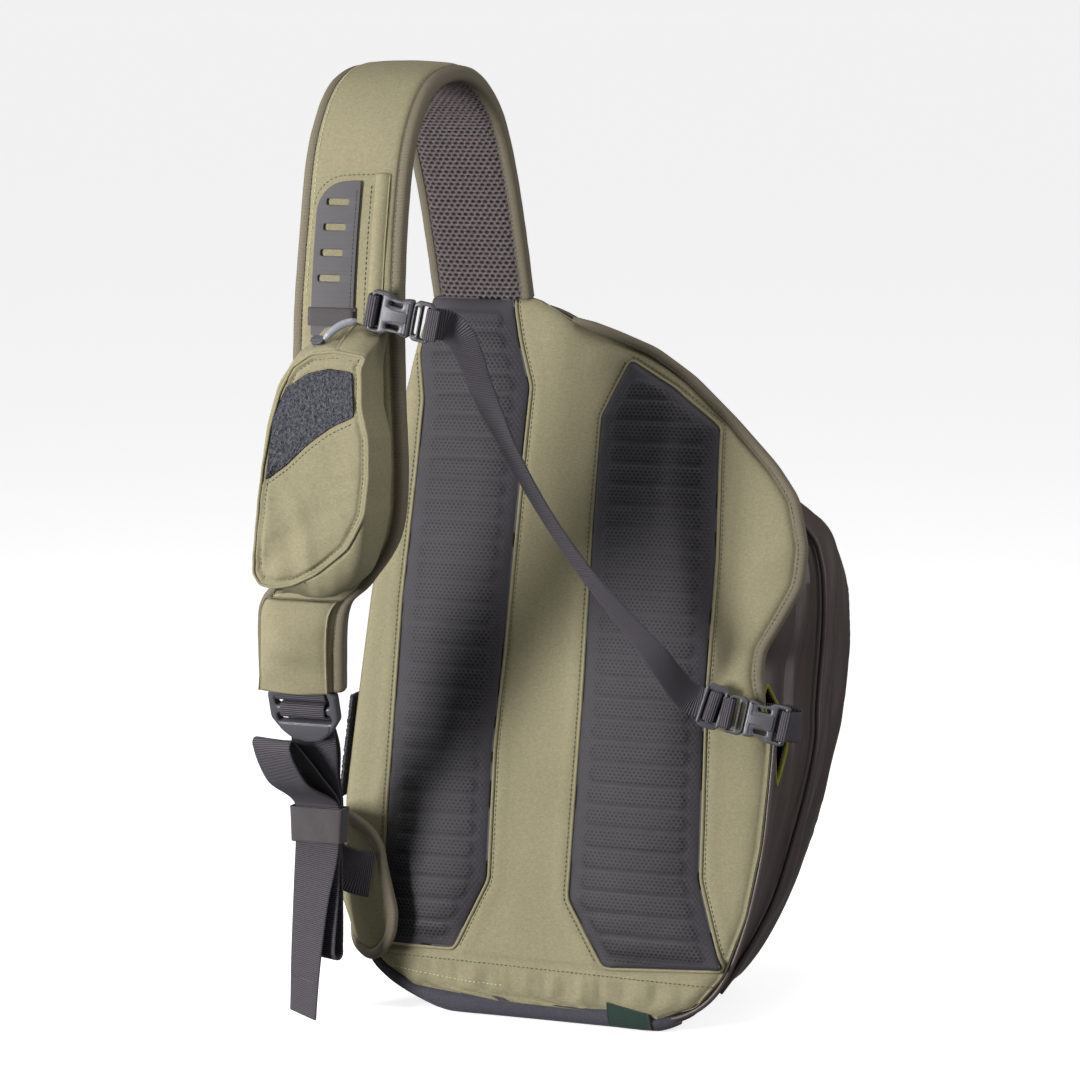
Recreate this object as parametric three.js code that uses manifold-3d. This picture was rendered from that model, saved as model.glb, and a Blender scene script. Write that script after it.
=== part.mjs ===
// Sling bag for fishing tackle, worn over one shoulder.
// Millimetres, +Z up. The padded back panel faces -Y, towards the wearer, and leans back by backLean.
// The origin is on the floor, at the middle of the bag's flat base.
import * as THREE from "three";
import { mergeVertices } from "three/addons/utils/BufferGeometryUtils.js";
import Module from "manifold-3d";

const wasm = await Module();
wasm.setup();

// Driving dimensions
const gap = 0.3; // between pieces that touch
const backLean = THREE.MathUtils.degToRad(9);
const backFoot = 78; // from the origin to the panel's rear face at the floor
const bagWidth = 302;
const bagHeight = 464;
const bagDepth = 158;
const shellWall = 2.2;
const baseWall = 3;
const baseReach = 0.8; // share of the depth that the base cloth covers
const weltSize = 4;
const panelThickness = 12;
const padThickness = 8;
const bindingWidth = 9;
const bindingProud = 1.2; // how far a binding stands out past the cloth that it wraps
const strapWidth = 68;
const strapReach = 203; // how far the strap stands out in front of its root
const strapRise = 144; // from its root to the top of its arch
const strapDrop = 231; // from the root's level down to its lower end
const strapSwing = 52; // how far the lower end is set to the left
const strapFoam = 8;
const strapMesh = 3.2;
const rootAcrossShare = -0.2467; // middle of the strap's root on the panel
const rootUpShare = 0.981; // height of the strap's root up the panel
const endCoverLength = 60;
const endCoverThickness = 3.5;
const ladderLength = 84;
const ladderWidth = 26;
const ladderFoot = 230; // up the strap from its lower end
const ladderThickness = 1.6;
const ladderHead = 12; // from its upper end to the first slot
const ladderSlots = 4;
const ladderSlotPitch = 15;
const ladderSlotLength = 14.5;
const ladderSlotHeight = 4.2;
const flapWidth = 9;
const flapThickness = 3;
const flapSink = 4; // how far its foot goes down behind the pouch's top
const flapLength = 104;
const pouchFoot = 66;
const pouchLength = 154;
const pouchWidth = 74;
const pouchDepth = 30;
const pouchWall = 1.6;
const patchThickness = 1.6;
const mainWebWidth = 30;
const webThickness = 1.6;
const sideWebWidth = 19;
const keeperHeight = 22;
const keeperDrop = 75; // from the lock's middle down to the keeper's
const upperLift = 19.2; // up the strap from the pouch's top to the upper buckle
const wingReach = 37; // how far the hip wing comes across from the gusset
const wingTurn = 22; // how far it stands in front of the panel's foot
const wingUp = 81.5; // its middle's height
const wingHeight = 91;
const wingThickness = 4;
const pileFoot = 131;
const pileLength = 66;
const pileSwell = 0.018; // how much wider the bag is behind the strip of pile
const lockThickness = 7;
const buckleThickness = 7;
const buckleWidth = 25;
const labelLength = 28;

const cosLean = Math.cos(backLean);
const sinLean = Math.sin(backLean);

// Outlines seen from the wearer's side, as shares of bagWidth and bagHeight: the back panel, the bag
// where it meets the panel, and the bag at its widest. The panel runs out past the bag as a wing.
// wing marks the rows with a bound edge, base the rows that stand on the base cloth.
const outlineRows = [
  { panel: [-0.361, 0.981], bag: [-0.351, 0.972], wide: [-0.365, 0.962] },
  { panel: [-0.248, 0.981], bag: [-0.245, 0.972], wide: [-0.25, 0.968] },
  { panel: [-0.132, 0.981], bag: [-0.135, 0.965], wide: [-0.135, 0.962] },
  { panel: [-0.026, 0.957], bag: [-0.045, 0.935], wide: [-0.04, 0.93], wing: true },
  { panel: [0.062, 0.939], bag: [0.03, 0.9], wide: [0.04, 0.895], wing: true },
  { panel: [0.149, 0.918], bag: [0.1, 0.868], wide: [0.115, 0.86], wing: true },
  { panel: [0.238, 0.881], bag: [0.176, 0.825], wide: [0.19, 0.82], wing: true },
  { panel: [0.331, 0.828], bag: [0.254, 0.768], wide: [0.28, 0.77], wing: true },
  { panel: [0.424, 0.769], bag: [0.33, 0.706], wide: [0.37, 0.725], wing: true },
  { panel: [0.477, 0.724], bag: [0.384, 0.656], wide: [0.437, 0.676], wing: true },
  { panel: [0.503, 0.659], bag: [0.412, 0.61], wide: [0.466, 0.622], wing: true },
  { panel: [0.497, 0.606], bag: [0.421, 0.572], wide: [0.472, 0.57], wing: true },
  { panel: [0.457, 0.556], bag: [0.412, 0.535], wide: [0.472, 0.53], wing: true },
  { panel: [0.424, 0.517], bag: [0.383, 0.502], wide: [0.471, 0.495], wing: true },
  { panel: [0.421, 0.483], bag: [0.382, 0.477], wide: [0.469, 0.46], wing: true },
  { panel: [0.434, 0.448], bag: [0.394, 0.446], wide: [0.467, 0.42], wing: true },
  { panel: [0.444, 0.399], bag: [0.441, 0.399], wide: [0.466, 0.375] },
  { panel: [0.44, 0.323], bag: [0.437, 0.323], wide: [0.45, 0.31] },
  { panel: [0.434, 0.256], bag: [0.43, 0.256], wide: [0.43, 0.255] },
  { panel: [0.411, 0.162], bag: [0.406, 0.162], wide: [0.395, 0.165] },
  { panel: [0.371, 0.082], bag: [0.365, 0.078], wide: [0.345, 0.095] },
  { panel: [0.315, 0.037], bag: [0.308, 0.026], wide: [0.29, 0.035] },
  { panel: [0.232, 0.017], bag: [0.232, 0], wide: [0.232, 0], base: true },
  { panel: [0.126, 0.022], bag: [0.126, 0], wide: [0.126, 0], base: true },
  { panel: [0, 0.024], bag: [0, 0], wide: [0, 0], base: true },
  { panel: [-0.123, 0.026], bag: [-0.123, 0], wide: [-0.123, 0], base: true },
  { panel: [-0.228, 0.026], bag: [-0.228, 0], wide: [-0.228, 0], base: true },
  { panel: [-0.308, 0.034], bag: [-0.306, 0.014], wide: [-0.306, 0.012], base: true },
  { panel: [-0.384, 0.058], bag: [-0.379, 0.038], wide: [-0.385, 0.04], base: true },
  { panel: [-0.43, 0.086], bag: [-0.427, 0.073], wide: [-0.44, 0.075], base: true },
  { panel: [-0.464, 0.151], bag: [-0.461, 0.147], wide: [-0.48, 0.147] },
  { panel: [-0.49, 0.216], bag: [-0.487, 0.216], wide: [-0.515, 0.216] },
  { panel: [-0.497, 0.28], bag: [-0.494, 0.28], wide: [-0.528, 0.28] },
  { panel: [-0.483, 0.42], bag: [-0.48, 0.42], wide: [-0.52, 0.42] },
  { panel: [-0.467, 0.56], bag: [-0.464, 0.56], wide: [-0.507, 0.56] },
  { panel: [-0.444, 0.7], bag: [-0.44, 0.7], wide: [-0.485, 0.7] },
  { panel: [-0.421, 0.823], bag: [-0.417, 0.823], wide: [-0.458, 0.823] },
  { panel: [-0.391, 0.916], bag: [-0.386, 0.91], wide: [-0.42, 0.905] },
];

// Sections of the bag from the panel to its front: depth as a share of the local depth, wide the
// share of the widest outline, the rest as shares of the outline's spread from its middle.
const depthRows = [
  { depth: 0, wide: 0, side: 1, top: 1, foot: 1 },
  { depth: 0.12, wide: 0.5, side: 1, top: 1, foot: 1 },
  { depth: 0.38, wide: 0.95, side: 1, top: 0.99, foot: 1 },
  { depth: 0.62, wide: 1, side: 0.995, top: 0.97, foot: 1 },
  { depth: 0.8, wide: 1, side: 0.95, top: 0.93, foot: 1 },
  { depth: 0.92, wide: 1, side: 0.86, top: 0.85, foot: 0.965 },
  { depth: 0.98, wide: 1, side: 0.73, top: 0.73, foot: 0.88 },
  { depth: 1, wide: 1, side: 0.5, top: 0.5, foot: 0.62 },
  { depth: 1.01, wide: 1, side: 0.2, top: 0.2, foot: 0.25 },
];
const weltRow = 2; // the welt runs up and over the bag along this section

// Local depth of the bag up its height, as shares of bagHeight and bagDepth.
const girthRows = [
  { up: 0, depth: 0.94 },
  { up: 0.25, depth: 1 },
  { up: 0.5, depth: 0.97 },
  { up: 0.75, depth: 0.74 },
  { up: 1, depth: 0.42 },
];

// Perforated pads on the panel, as shares of bagWidth and bagHeight.
const leftPadRows = [
  { across: -0.352, up: 0.966 },
  { across: -0.176, up: 0.966 },
  { across: -0.152, up: 0.92 },
  { across: -0.123, up: 0.858 },
  { across: -0.129, up: 0.776 },
  { across: -0.142, up: 0.569 },
  { across: -0.157, up: 0.364 },
  { across: -0.154, up: 0.185 },
  { across: -0.222, up: 0.088 },
  { across: -0.389, up: 0.088 },
  { across: -0.39, up: 0.284 },
  { across: -0.384, up: 0.56 },
  { across: -0.368, up: 0.741 },
  { across: -0.362, up: 0.838 },
  { across: -0.378, up: 0.9 },
];
const rightPadRows = [
  { across: 0.099, up: 0.898 },
  { across: 0.2, up: 0.862 },
  { across: 0.303, up: 0.812 },
  { across: 0.311, up: 0.638 },
  { across: 0.305, up: 0.45 },
  { across: 0.315, up: 0.209 },
  { across: 0.372, up: 0.09 },
  { across: 0.116, up: 0.08 },
  { across: 0.03, up: 0.168 },
  { across: 0.036, up: 0.44 },
  { across: 0.036, up: 0.683 },
  { across: 0.04, up: 0.821 },
];

// The strap's middle line from its root: out is a share of strapReach, rise of strapRise,
// drop of strapDrop, swing of strapSwing, and width of strapWidth.
const strapRows = [
  { out: 0, rise: 0, drop: 0, swing: 0, width: 1 },
  { out: 0.07, rise: 0.29, drop: 0, swing: 0, width: 1 },
  { out: 0.15, rise: 0.57, drop: 0, swing: 0, width: 1 },
  { out: 0.26, rise: 0.82, drop: 0, swing: 0, width: 1 },
  { out: 0.43, rise: 0.97, drop: 0, swing: 0, width: 1 },
  { out: 0.62, rise: 1, drop: 0, swing: 0, width: 1 },
  { out: 0.8, rise: 0.925, drop: 0, swing: 0, width: 1 },
  { out: 0.93, rise: 0.71, drop: 0, swing: 0, width: 1 },
  { out: 0.98, rise: 0.385, drop: 0, swing: 0.02, width: 1 },
  { out: 1, rise: 0.035, drop: 0, swing: 0.05, width: 1.03 },
  { out: 1, rise: 0, drop: 0.178, swing: 0.06, width: 1.06 },
  { out: 0.99, rise: 0, drop: 0.42, swing: 0.1, width: 1.14 },
  { out: 0.965, rise: 0, drop: 0.575, swing: 0.23, width: 1.12 },
  { out: 0.935, rise: 0, drop: 0.694, swing: 0.5, width: 0.94 },
  { out: 0.9, rise: 0, drop: 0.782, swing: 0.83, width: 0.87 },
  { out: 0.82, rise: 0, drop: 1, swing: 1, width: 0.84 },
];

// The pouch's outline on the strap: across is a share of pouchWidth from the strap's middle
// line, up a share of pouchLength from pouchFoot.
const pouchRows = [
  { across: 0.096, up: 1 },
  { across: -0.08, up: 0.99 },
  { across: -0.224, up: 0.967 },
  { across: -0.34, up: 0.925 },
  { across: -0.428, up: 0.86 },
  { across: -0.49, up: 0.74 },
  { across: -0.538, up: 0.604 },
  { across: -0.565, up: 0.48 },
  { across: -0.573, up: 0.37 },
  { across: -0.53, up: 0.25 },
  { across: -0.431, up: 0.15 },
  { across: -0.3, up: 0.08 },
  { across: -0.16, up: 0.042 },
  { across: 0.131, up: 0.013 },
  { across: 0.34, up: 0.03 },
  { across: 0.43, up: 0.1 },
  { across: 0.459, up: 0.182 },
  { across: 0.44, up: 0.31 },
  { across: 0.397, up: 0.445 },
  { across: 0.36, up: 0.62 },
  { across: 0.334, up: 0.773 },
  { across: 0.305, up: 0.94 },
  { across: 0.24, up: 0.99 },
];
// From the strap to the pouch's front, as shares of pouchDepth.
const pouchSections = [
  { rise: 0, inset: 0.12 },
  { rise: 0.3, inset: 0.02 },
  { rise: 0.72, inset: 0 },
  { rise: 0.93, inset: 0.08 },
  { rise: 1, inset: 0.22 },
];
const pouchHang = 0.6; // how far its foot keeps upright where the strap draws back
// The pile patch on the pouch's front, in the same shares as the pouch's outline.
const patchRows = [
  { across: 0.051, up: 0.925 },
  { across: -0.13, up: 0.905 },
  { across: -0.32, up: 0.845 },
  { across: -0.43, up: 0.73 },
  { across: -0.485, up: 0.49 },
  { across: -0.32, up: 0.55 },
  { across: -0.127, up: 0.633 },
  { across: 0.06, up: 0.7 },
  { across: 0.27, up: 0.745 },
  { across: 0.25, up: 0.915 },
];

// Smooth interpolation of one column of a table at a row number that needn't be whole.
function column(rows, name, at) {
  const last = rows.length - 1;
  const whole = Math.min(Math.max(Math.floor(at), 0), last - 1);
  const t = at - whole;
  const value = (i) => rows[Math.min(Math.max(i, 0), last)][name];
  const [a, b, c, d] = [value(whole - 1), value(whole), value(whole + 1), value(whole + 2)];
  return b + 0.5 * t * (c - a + t * (2 * a - 5 * b + 4 * c - d + t * (3 * (b - c) + d - a)));
}

// Straight interpolation of a column by another column that rises.
function between(rows, key, name, at) {
  const next = Math.max(1, rows.findIndex((row) => row[key] >= at));
  const [low, high] = [rows[next - 1], rows[next]];
  const t = THREE.MathUtils.clamp((at - low[key]) / (high[key] - low[key]), 0, 1);
  return THREE.MathUtils.lerp(low[name], high[name], t);
}

function signedArea(flat) {
  return THREE.ShapeUtils.area(flat.map(([x, y]) => new THREE.Vector2(x, y)));
}

// Moves each corner of a flat closed outline inwards by distance, or outwards if it is negative.
function inset(flat, distance) {
  const turn = Math.sign(signedArea(flat));
  return flat.map(([x, y], i) => {
    const before = flat[(i + flat.length - 1) % flat.length];
    const after = flat[(i + 1) % flat.length];
    const a = new THREE.Vector2(x - before[0], y - before[1]).normalize();
    const b = new THREE.Vector2(after[0] - x, after[1] - y).normalize();
    const normal = new THREE.Vector2(-a.y - b.y, a.x + b.x).normalize().multiplyScalar(turn);
    const stretch = 1 / Math.max(0.6, Math.sqrt((1 + a.dot(b)) / 2));
    return [x + normal.x * distance * stretch, y + normal.y * distance * stretch];
  });
}

// A closed solid through loops of equal length. Open ends are capped: by triangulating flat,
// an outline of the same corners, or else by a fan. A thin loop goes out along one face and back
// along the other, and both faces are split alike, so that it keeps its thickness as it twists.
function throughLoops(loops, { ring = false, flat = null, thin = false } = {}) {
  const size = loops[0].length;
  const points = loops.flat();
  const faces = [];
  const bands = ring ? loops.length : loops.length - 1;
  for (let k = 0; k < bands; k++) {
    const next = (k + 1) % loops.length;
    for (let i = 0; i < size; i++) {
      const j = (i + 1) % size;
      const [a, b, c, d] = [k * size + i, k * size + j, next * size + j, next * size + i];
      if (thin && i >= size / 2) faces.push([a, b, d], [b, c, d]);
      else faces.push([a, b, c], [a, c, d]);
    }
  }
  if (!ring) {
    capEnd(points, faces, 0, size, { flat, thin }, true);
    capEnd(points, faces, (loops.length - 1) * size, size, { flat, thin }, false);
  }
  return geometryOf(points, faces);
}

function capEnd(points, faces, start, size, { flat, thin }, turned) {
  const add = (a, b, c) => faces.push(turned ? [b, a, c] : [a, b, c]);
  if (thin) {
    for (let i = 0; i < size / 2 - 1; i++) {
      const [near, far] = [start + i, start + size - 1 - i];
      add(near, near + 1, far - 1);
      add(near, far - 1, far);
    }
    return;
  }
  if (flat) {
    const contour = flat.map(([x, y]) => new THREE.Vector2(x, y));
    const turn = Math.sign(signedArea(flat));
    for (const [a, b, c] of THREE.ShapeUtils.triangulateShape(contour, [])) {
      const same = signedArea([flat[a], flat[b], flat[c]]) * turn > 0;
      if (same) add(start + a, start + b, start + c);
      else add(start + b, start + a, start + c);
    }
    return;
  }
  const middle = new THREE.Vector3();
  for (let i = 0; i < size; i++) middle.addScaledVector(points[start + i], 1 / size);
  points.push(middle);
  for (let i = 0; i < size; i++) add(start + i, start + ((i + 1) % size), points.length - 1);
}

function geometryOf(points, faces) {
  let volume = 0;
  for (const [a, b, c] of faces) {
    volume += points[a].dot(new THREE.Vector3().crossVectors(points[b], points[c]));
  }
  const index = faces.flatMap(([a, b, c]) => (volume < 0 ? [b, a, c] : [a, b, c]));
  const positions = new Float32Array(points.flatMap((p) => [p.x, p.y, p.z]));
  const geometry = new THREE.BufferGeometry();
  geometry.setAttribute("position", new THREE.BufferAttribute(positions, 3));
  geometry.setIndex(index);
  return geometry;
}

// Joining and cutting
function solidOf(geometry) {
  const bare = geometry.clone();
  bare.deleteAttribute("normal");
  bare.deleteAttribute("uv");
  const merged = mergeVertices(bare, 1e-3);
  return new wasm.Manifold(
    new wasm.Mesh({
      numProp: 3,
      vertProperties: merged.attributes.position.array,
      triVerts: new Uint32Array(merged.index.array),
    }),
  );
}

function geometryFrom(solid) {
  const mesh = solid.getMesh();
  const geometry = new THREE.BufferGeometry();
  geometry.setAttribute("position", new THREE.BufferAttribute(mesh.vertProperties, 3));
  geometry.setIndex(new THREE.BufferAttribute(mesh.triVerts, 1));
  return geometry;
}

function cutBy(geometry, ...cutters) {
  let solid = solidOf(geometry);
  for (const cutter of cutters) solid = solid.subtract(solidOf(cutter));
  return geometryFrom(solid);
}

// A rounded rectangle as eight corners, round its own middle.
function softSection(width, height, corner) {
  const [w, h] = [width / 2, height / 2];
  return [
    [-w, -h + corner],
    [-w + corner, -h],
    [w - corner, -h],
    [w, -h + corner],
    [w, h - corner],
    [w - corner, h],
    [-w + corner, h],
    [-w, h - corner],
  ];
}

// Sweeps a section, given at each frame as [side, out] pairs, along frames {at, side, out}.
function sweep(frames, sectionAt, options) {
  const loops = frames.map((frame, i) =>
    sectionAt(frame, i).map(([side, out]) =>
      frame.at.clone().addScaledVector(frame.side, side).addScaledVector(frame.out, out),
    ),
  );
  return throughLoops(loops, options);
}

// Frames along a run of points, with side as near to the given side as the run allows.
function framesAlong(points, sides, ring = false) {
  const count = points.length;
  return points.map((at, i) => {
    const before = points[ring ? (i + count - 1) % count : Math.max(i - 1, 0)];
    const after = points[ring ? (i + 1) % count : Math.min(i + 1, count - 1)];
    const along = after.clone().sub(before).normalize();
    const side = sides[i].clone().addScaledVector(along, -sides[i].dot(along)).normalize();
    return { at, side, out: new THREE.Vector3().crossVectors(along, side) };
  });
}

// The panel's own surface: across and up it, and out from its rear face towards the wearer.
function onPanel(across, up, out = 0) {
  return new THREE.Vector3(
    across,
    -backFoot + up * sinLean - out * cosLean,
    up * cosLean + out * sinLean,
  );
}

// A pad that lies on a surface: sections from its rear to its crown.
function padOn(place, outline, sections) {
  const loops = sections.map(({ inset: by, rise }) =>
    inset(outline, by).map(([across, up]) => place(across, up, rise)),
  );
  return throughLoops(loops, { flat: outline });
}

// Body of the bag
const sized = ([across, up]) => [across * bagWidth, up * bagHeight];
const bagOutline = outlineRows.map((row) => sized(row.bag));
const wideOutline = outlineRows.map((row) => sized(row.wide));
const bagMiddle = [0, 0.42 * bagHeight];

// A spot on the bag: a row of the outline, a row of the depth, and how far under the surface
function bagPoint(i, row, sink = 0, front = 0) {
  const near = inset(bagOutline, sink)[i];
  const far = inset(wideOutline, sink)[i];
  const spot = [0, 1].map((axis) => THREE.MathUtils.lerp(near[axis], far[axis], row.wide));
  return bagPlace(spot, row, front);
}

function bagPlace([across, up], row, front = 0) {
  const rise = up > bagMiddle[1] ? row.top : row.foot;
  const x = bagMiddle[0] + (across - bagMiddle[0]) * row.side;
  const z = bagMiddle[1] + (up - bagMiddle[1]) * rise;
  const local = bagDepth * between(girthRows, "up", "depth", z / bagHeight);
  const point = onPanel(x, z);
  point.y += gap / cosLean + Math.max(0, row.depth * local - front);
  return point;
}

// The shell stands inside the base cloth where that covers it.
const shellSink = (i) => (outlineRows[i].base ? baseWall + gap : 0);

function bodyShell() {
  const ring = (row, wall, front) =>
    outlineRows.map((_, i) => bagPoint(i, row, shellSink(i) + wall, front));
  const outer = depthRows.map((row) => ring(row, 0, 0));
  const inner = depthRows.map((row, k) => ring(row, shellWall, k > 4 ? shellWall : 0));
  return throughLoops([...outer].reverse().concat(inner));
}

// A slit in the gusset behind the panel's right edge, which the lower buckle's web goes into.
const slitUp = 0.425 * bagHeight;
const slitLength = 56;
const slitWidth = 8;
const slitSetback = 6; // from the panel's rear face to the slit's near edge
const slitLip = 1.2;
const slitOutline = softSection(slitLength, slitWidth, 2);

function slitPoint(up, across) {
  const point = onPanel(across, slitUp + up);
  point.y += slitSetback + slitWidth / 2;
  return point;
}

function slitRing(outline, across) {
  return outline.map(([up, back]) => slitPoint(up, across).add(new THREE.Vector3(0, back, 0)));
}

const slitEdge = 0.424 * bagWidth; // where the gusset lies at the slit's height
function slitCutter() {
  const reach = 22;
  const loops = [slitEdge - reach, slitEdge + reach].map((x) => slitRing(slitOutline, x));
  return throughLoops(loops);
}

function slitFacing() {
  const inner = slitEdge - 2.4;
  const outer = slitEdge + 3.2;
  const loops = [
    slitRing(inset(slitOutline, gap), inner),
    slitRing(inset(slitOutline, gap), outer),
    slitRing(inset(slitOutline, gap + slitLip), outer),
    slitRing(inset(slitOutline, gap + slitLip), inner),
  ];
  return throughLoops(loops, { ring: true });
}

function sideWelt() {
  const clear = weltSize / 2 + gap + 0.4;
  const foot = outlineRows.findLastIndex((row) => row.base) + 1;
  const points = [];
  for (let i = 0; i < outlineRows.length; i++) {
    const at = (foot + i) % outlineRows.length;
    if (!outlineRows[at].base) points.push(bagPoint(at, depthRows[weltRow], -clear));
  }
  const sides = points.map(() => new THREE.Vector3(0, 1, 0));
  const corner = weltSize * 0.29;
  return sweep(framesAlong(points, sides), () => softSection(weltSize, weltSize, corner));
}

function baseCloth() {
  const first = outlineRows.findIndex((row) => row.base);
  const count = outlineRows.filter((row) => row.base).length;
  const rows = depthRows.filter((row) => row.depth <= baseReach);
  const loops = [];
  for (let i = first; i < first + count; i++) {
    const under = rows.map((row) => bagPoint(i, row));
    const above = rows.map((row) => bagPoint(i, row, baseWall));
    loops.push([...under, ...above.reverse()]);
  }
  return throughLoops(loops, { thin: true });
}

// Back panel, with a bound edge round its wing
const fullOutline = outlineRows.map((row) => sized(row.panel));
const boundOutline = inset(fullOutline, bindingWidth + gap);
const panelOutline = fullOutline.map((spot, i) => (outlineRows[i].wing ? boundOutline[i] : spot));
const panelEdge = panelThickness * 0.55;

function backPanel() {
  return padOn(onPanel, panelOutline, [
    { inset: 0, rise: 0 },
    { inset: 0, rise: panelEdge },
    { inset: 3, rise: panelThickness * 0.88 },
    { inset: 9, rise: panelThickness },
  ]);
}

function wingBinding() {
  const middle = inset(fullOutline, bindingWidth / 2);
  const first = outlineRows.findIndex((row) => row.wing);
  const count = outlineRows.filter((row) => row.wing).length;
  const thickness = panelThickness + 2 * bindingProud;
  const points = [];
  for (let i = first; i < first + count; i++) {
    points.push(onPanel(...middle[i], thickness / 2 - bindingProud));
  }
  const away = onPanel(0, 0, 1).sub(onPanel(0, 0, 0));
  const frames = framesAlong(points, points.map(() => away.clone()));
  return sweep(frames, () => softSection(thickness, bindingWidth, bindingWidth * 0.3));
}

function meshPad(rows) {
  const outline = rows.map((row) => sized([row.across, row.up]));
  const seat = panelThickness + gap;
  return padOn(onPanel, outline, [
    { inset: 0, rise: seat },
    { inset: 0, rise: seat + padThickness * 0.3 },
    { inset: 4, rise: seat + padThickness * 0.72 },
    { inset: 12, rise: seat + padThickness },
  ]);
}

// The bag's left edge beside the panel, at a height up the panel
function gussetEdge(up) {
  const left = outlineRows.slice(-9).map((row) => ({
    up: row.bag[1] * bagHeight,
    across: row.bag[0] * bagWidth,
  }));
  return between(left, "up", "across", up);
}

// A strip of loop pile on the left gusset, beside the panel
function pileStrip() {
  const thickness = 2.4;
  const width = 19;
  const loops = [0, 1, 2, 3, 4].map((i) => {
    const up = pileFoot + (pileLength * i) / 4;
    const near = bagPlace([gussetEdge(up), up], depthRows[0]);
    const swell = pileSwell * bagWidth;
    const along = bagPlace([gussetEdge(up) - swell, up], depthRows[1]).sub(near).normalize();
    const out = new THREE.Vector3(-1, 0, 0).addScaledVector(along, along.x).normalize();
    const start = near.clone().addScaledVector(along, 1).addScaledVector(out, gap + 0.4);
    const end = start.clone().addScaledVector(along, width - 3);
    const lift = (point, by) => point.clone().addScaledVector(out, by);
    return [start, end, lift(end, thickness), lift(start, thickness)];
  });
  return throughLoops(loops);
}

// Shoulder strap
const strapRoot = onPanel(
  rootAcrossShare * bagWidth,
  rootUpShare * bagHeight + 0.7,
  panelThickness / 2,
);

function strapMiddle(at) {
  return new THREE.Vector3(
    strapRoot.x - strapSwing * column(strapRows, "swing", at),
    strapRoot.y - strapReach * column(strapRows, "out", at),
    strapRoot.z +
      strapRise * column(strapRows, "rise", at) -
      strapDrop * column(strapRows, "drop", at),
  );
}

const strapSide = new THREE.Vector3(1, 0, 0);
function strapFrame(at) {
  const step = 0.01;
  const last = strapRows.length - 1;
  const ahead = strapMiddle(Math.min(at + step, last));
  const along = ahead.sub(strapMiddle(Math.max(at - step, 0)));
  along.x = 0;
  along.normalize();
  const out = new THREE.Vector3().crossVectors(along, strapSide);
  return {
    at: strapMiddle(at),
    side: strapSide,
    out,
    width: strapWidth * column(strapRows, "width", at),
  };
}

// Row numbers at even distances up the strap from its lower end
const strapSteps = 400;
const strapLengths = [0];
for (let i = 1; i <= strapSteps; i++) {
  const last = strapRows.length - 1;
  const here = strapMiddle(last * (1 - i / strapSteps));
  const below = strapMiddle(last * (1 - (i - 1) / strapSteps));
  here.x = below.x;
  strapLengths.push(strapLengths[i - 1] + here.distanceTo(below));
}

function strapUp(distance) {
  const next = Math.max(1, strapLengths.findIndex((length) => length >= distance));
  const [low, high] = [strapLengths[next - 1], strapLengths[next]];
  const step = next - 1 + (distance - low) / (high - low);
  return strapFrame((strapRows.length - 1) * (1 - step / strapSteps));
}

// A spot on the strap: across it, up it from the lower end, and out from its outer face.
function onStrap(across, up, out = 0) {
  const frame = strapUp(up);
  return frame.at
    .clone()
    .addScaledVector(frame.side, across)
    .addScaledVector(frame.out, strapFoam / 2 + out);
}

const strapFrames = [];
for (let i = 0; i <= (strapRows.length - 1) * 3; i++) strapFrames.push(strapFrame(i / 3));

const strapCoreWidth = (frame) => frame.width - 2 * (bindingWidth + gap);

function strapCore() {
  return sweep(strapFrames, (frame) => softSection(strapCoreWidth(frame), strapFoam, 1.2));
}

function strapLining() {
  return sweep(strapFrames, (frame) => {
    const below = -(strapFoam + strapMesh) / 2 - gap;
    const section = softSection(strapCoreWidth(frame), strapMesh, 0.8);
    return section.map(([side, out]) => [side, out + below]);
  });
}

function strapBinding(hand) {
  const thickness = strapFoam + strapMesh + 2 * bindingProud;
  const drop = -(strapMesh + gap) / 2;
  return sweep(strapFrames, (frame) => {
    const middle = hand * (frame.width - bindingWidth) / 2;
    const section = softSection(bindingWidth, thickness, 2.6);
    return section.map(([side, out]) => [side + middle, out + drop]);
  });
}

// A run of the strap's outer face between two heights, with edges given at each height
function onStrapRun(foot, length, steps, edges, sectionOf, options) {
  const frames = [];
  for (let i = 0; i <= steps; i++) {
    const share = i / steps;
    const frame = strapUp(foot + length * share);
    frames.push({ ...frame, share });
  }
  return sweep(frames, (frame) => {
    const [left, right] = edges(frame);
    const low = strapFoam / 2 + gap;
    return sectionOf(right - left, frame).map(([side, out]) => [
      side + (left + right) / 2,
      out + low,
    ]);
  }, options);
}

const raised = (width, height, corner) =>
  softSection(width, height, corner).map(([side, out]) => [side, out + height / 2]);

const ladderLeft = -21; // from the strap's middle line to the ladder's left edge
function toolLadder() {
  const right = ladderLeft + ladderWidth;
  const rounding = 0.22; // share of the length over which the upper left corner turns
  const edges = ({ share }) => {
    const turn = Math.max(0, (share - (1 - rounding)) / rounding);
    return [ladderLeft + 0.72 * ladderWidth * (1 - Math.sqrt(1 - 0.98 * turn * turn)), right];
  };
  const plate = onStrapRun(ladderFoot, ladderLength, 14, edges, (width) =>
    raised(width, ladderThickness, 0.3),
  );
  const cutters = [];
  for (let i = 0; i < ladderSlots; i++) {
    const up = ladderFoot + ladderLength - ladderHead - i * ladderSlotPitch;
    const frame = strapUp(up);
    const box = new THREE.BoxGeometry(ladderSlotLength, 6 * ladderThickness, ladderSlotHeight);
    const middle = onStrap(ladderLeft + ladderWidth * 0.52, up, ladderThickness / 2);
    const along = new THREE.Vector3().crossVectors(frame.side, frame.out);
    box.applyMatrix4(new THREE.Matrix4().makeBasis(frame.side, frame.out, along));
    box.translate(middle.x, middle.y, middle.z);
    cutters.push(box);
  }
  return cutBy(plate, ...cutters);
}

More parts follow.
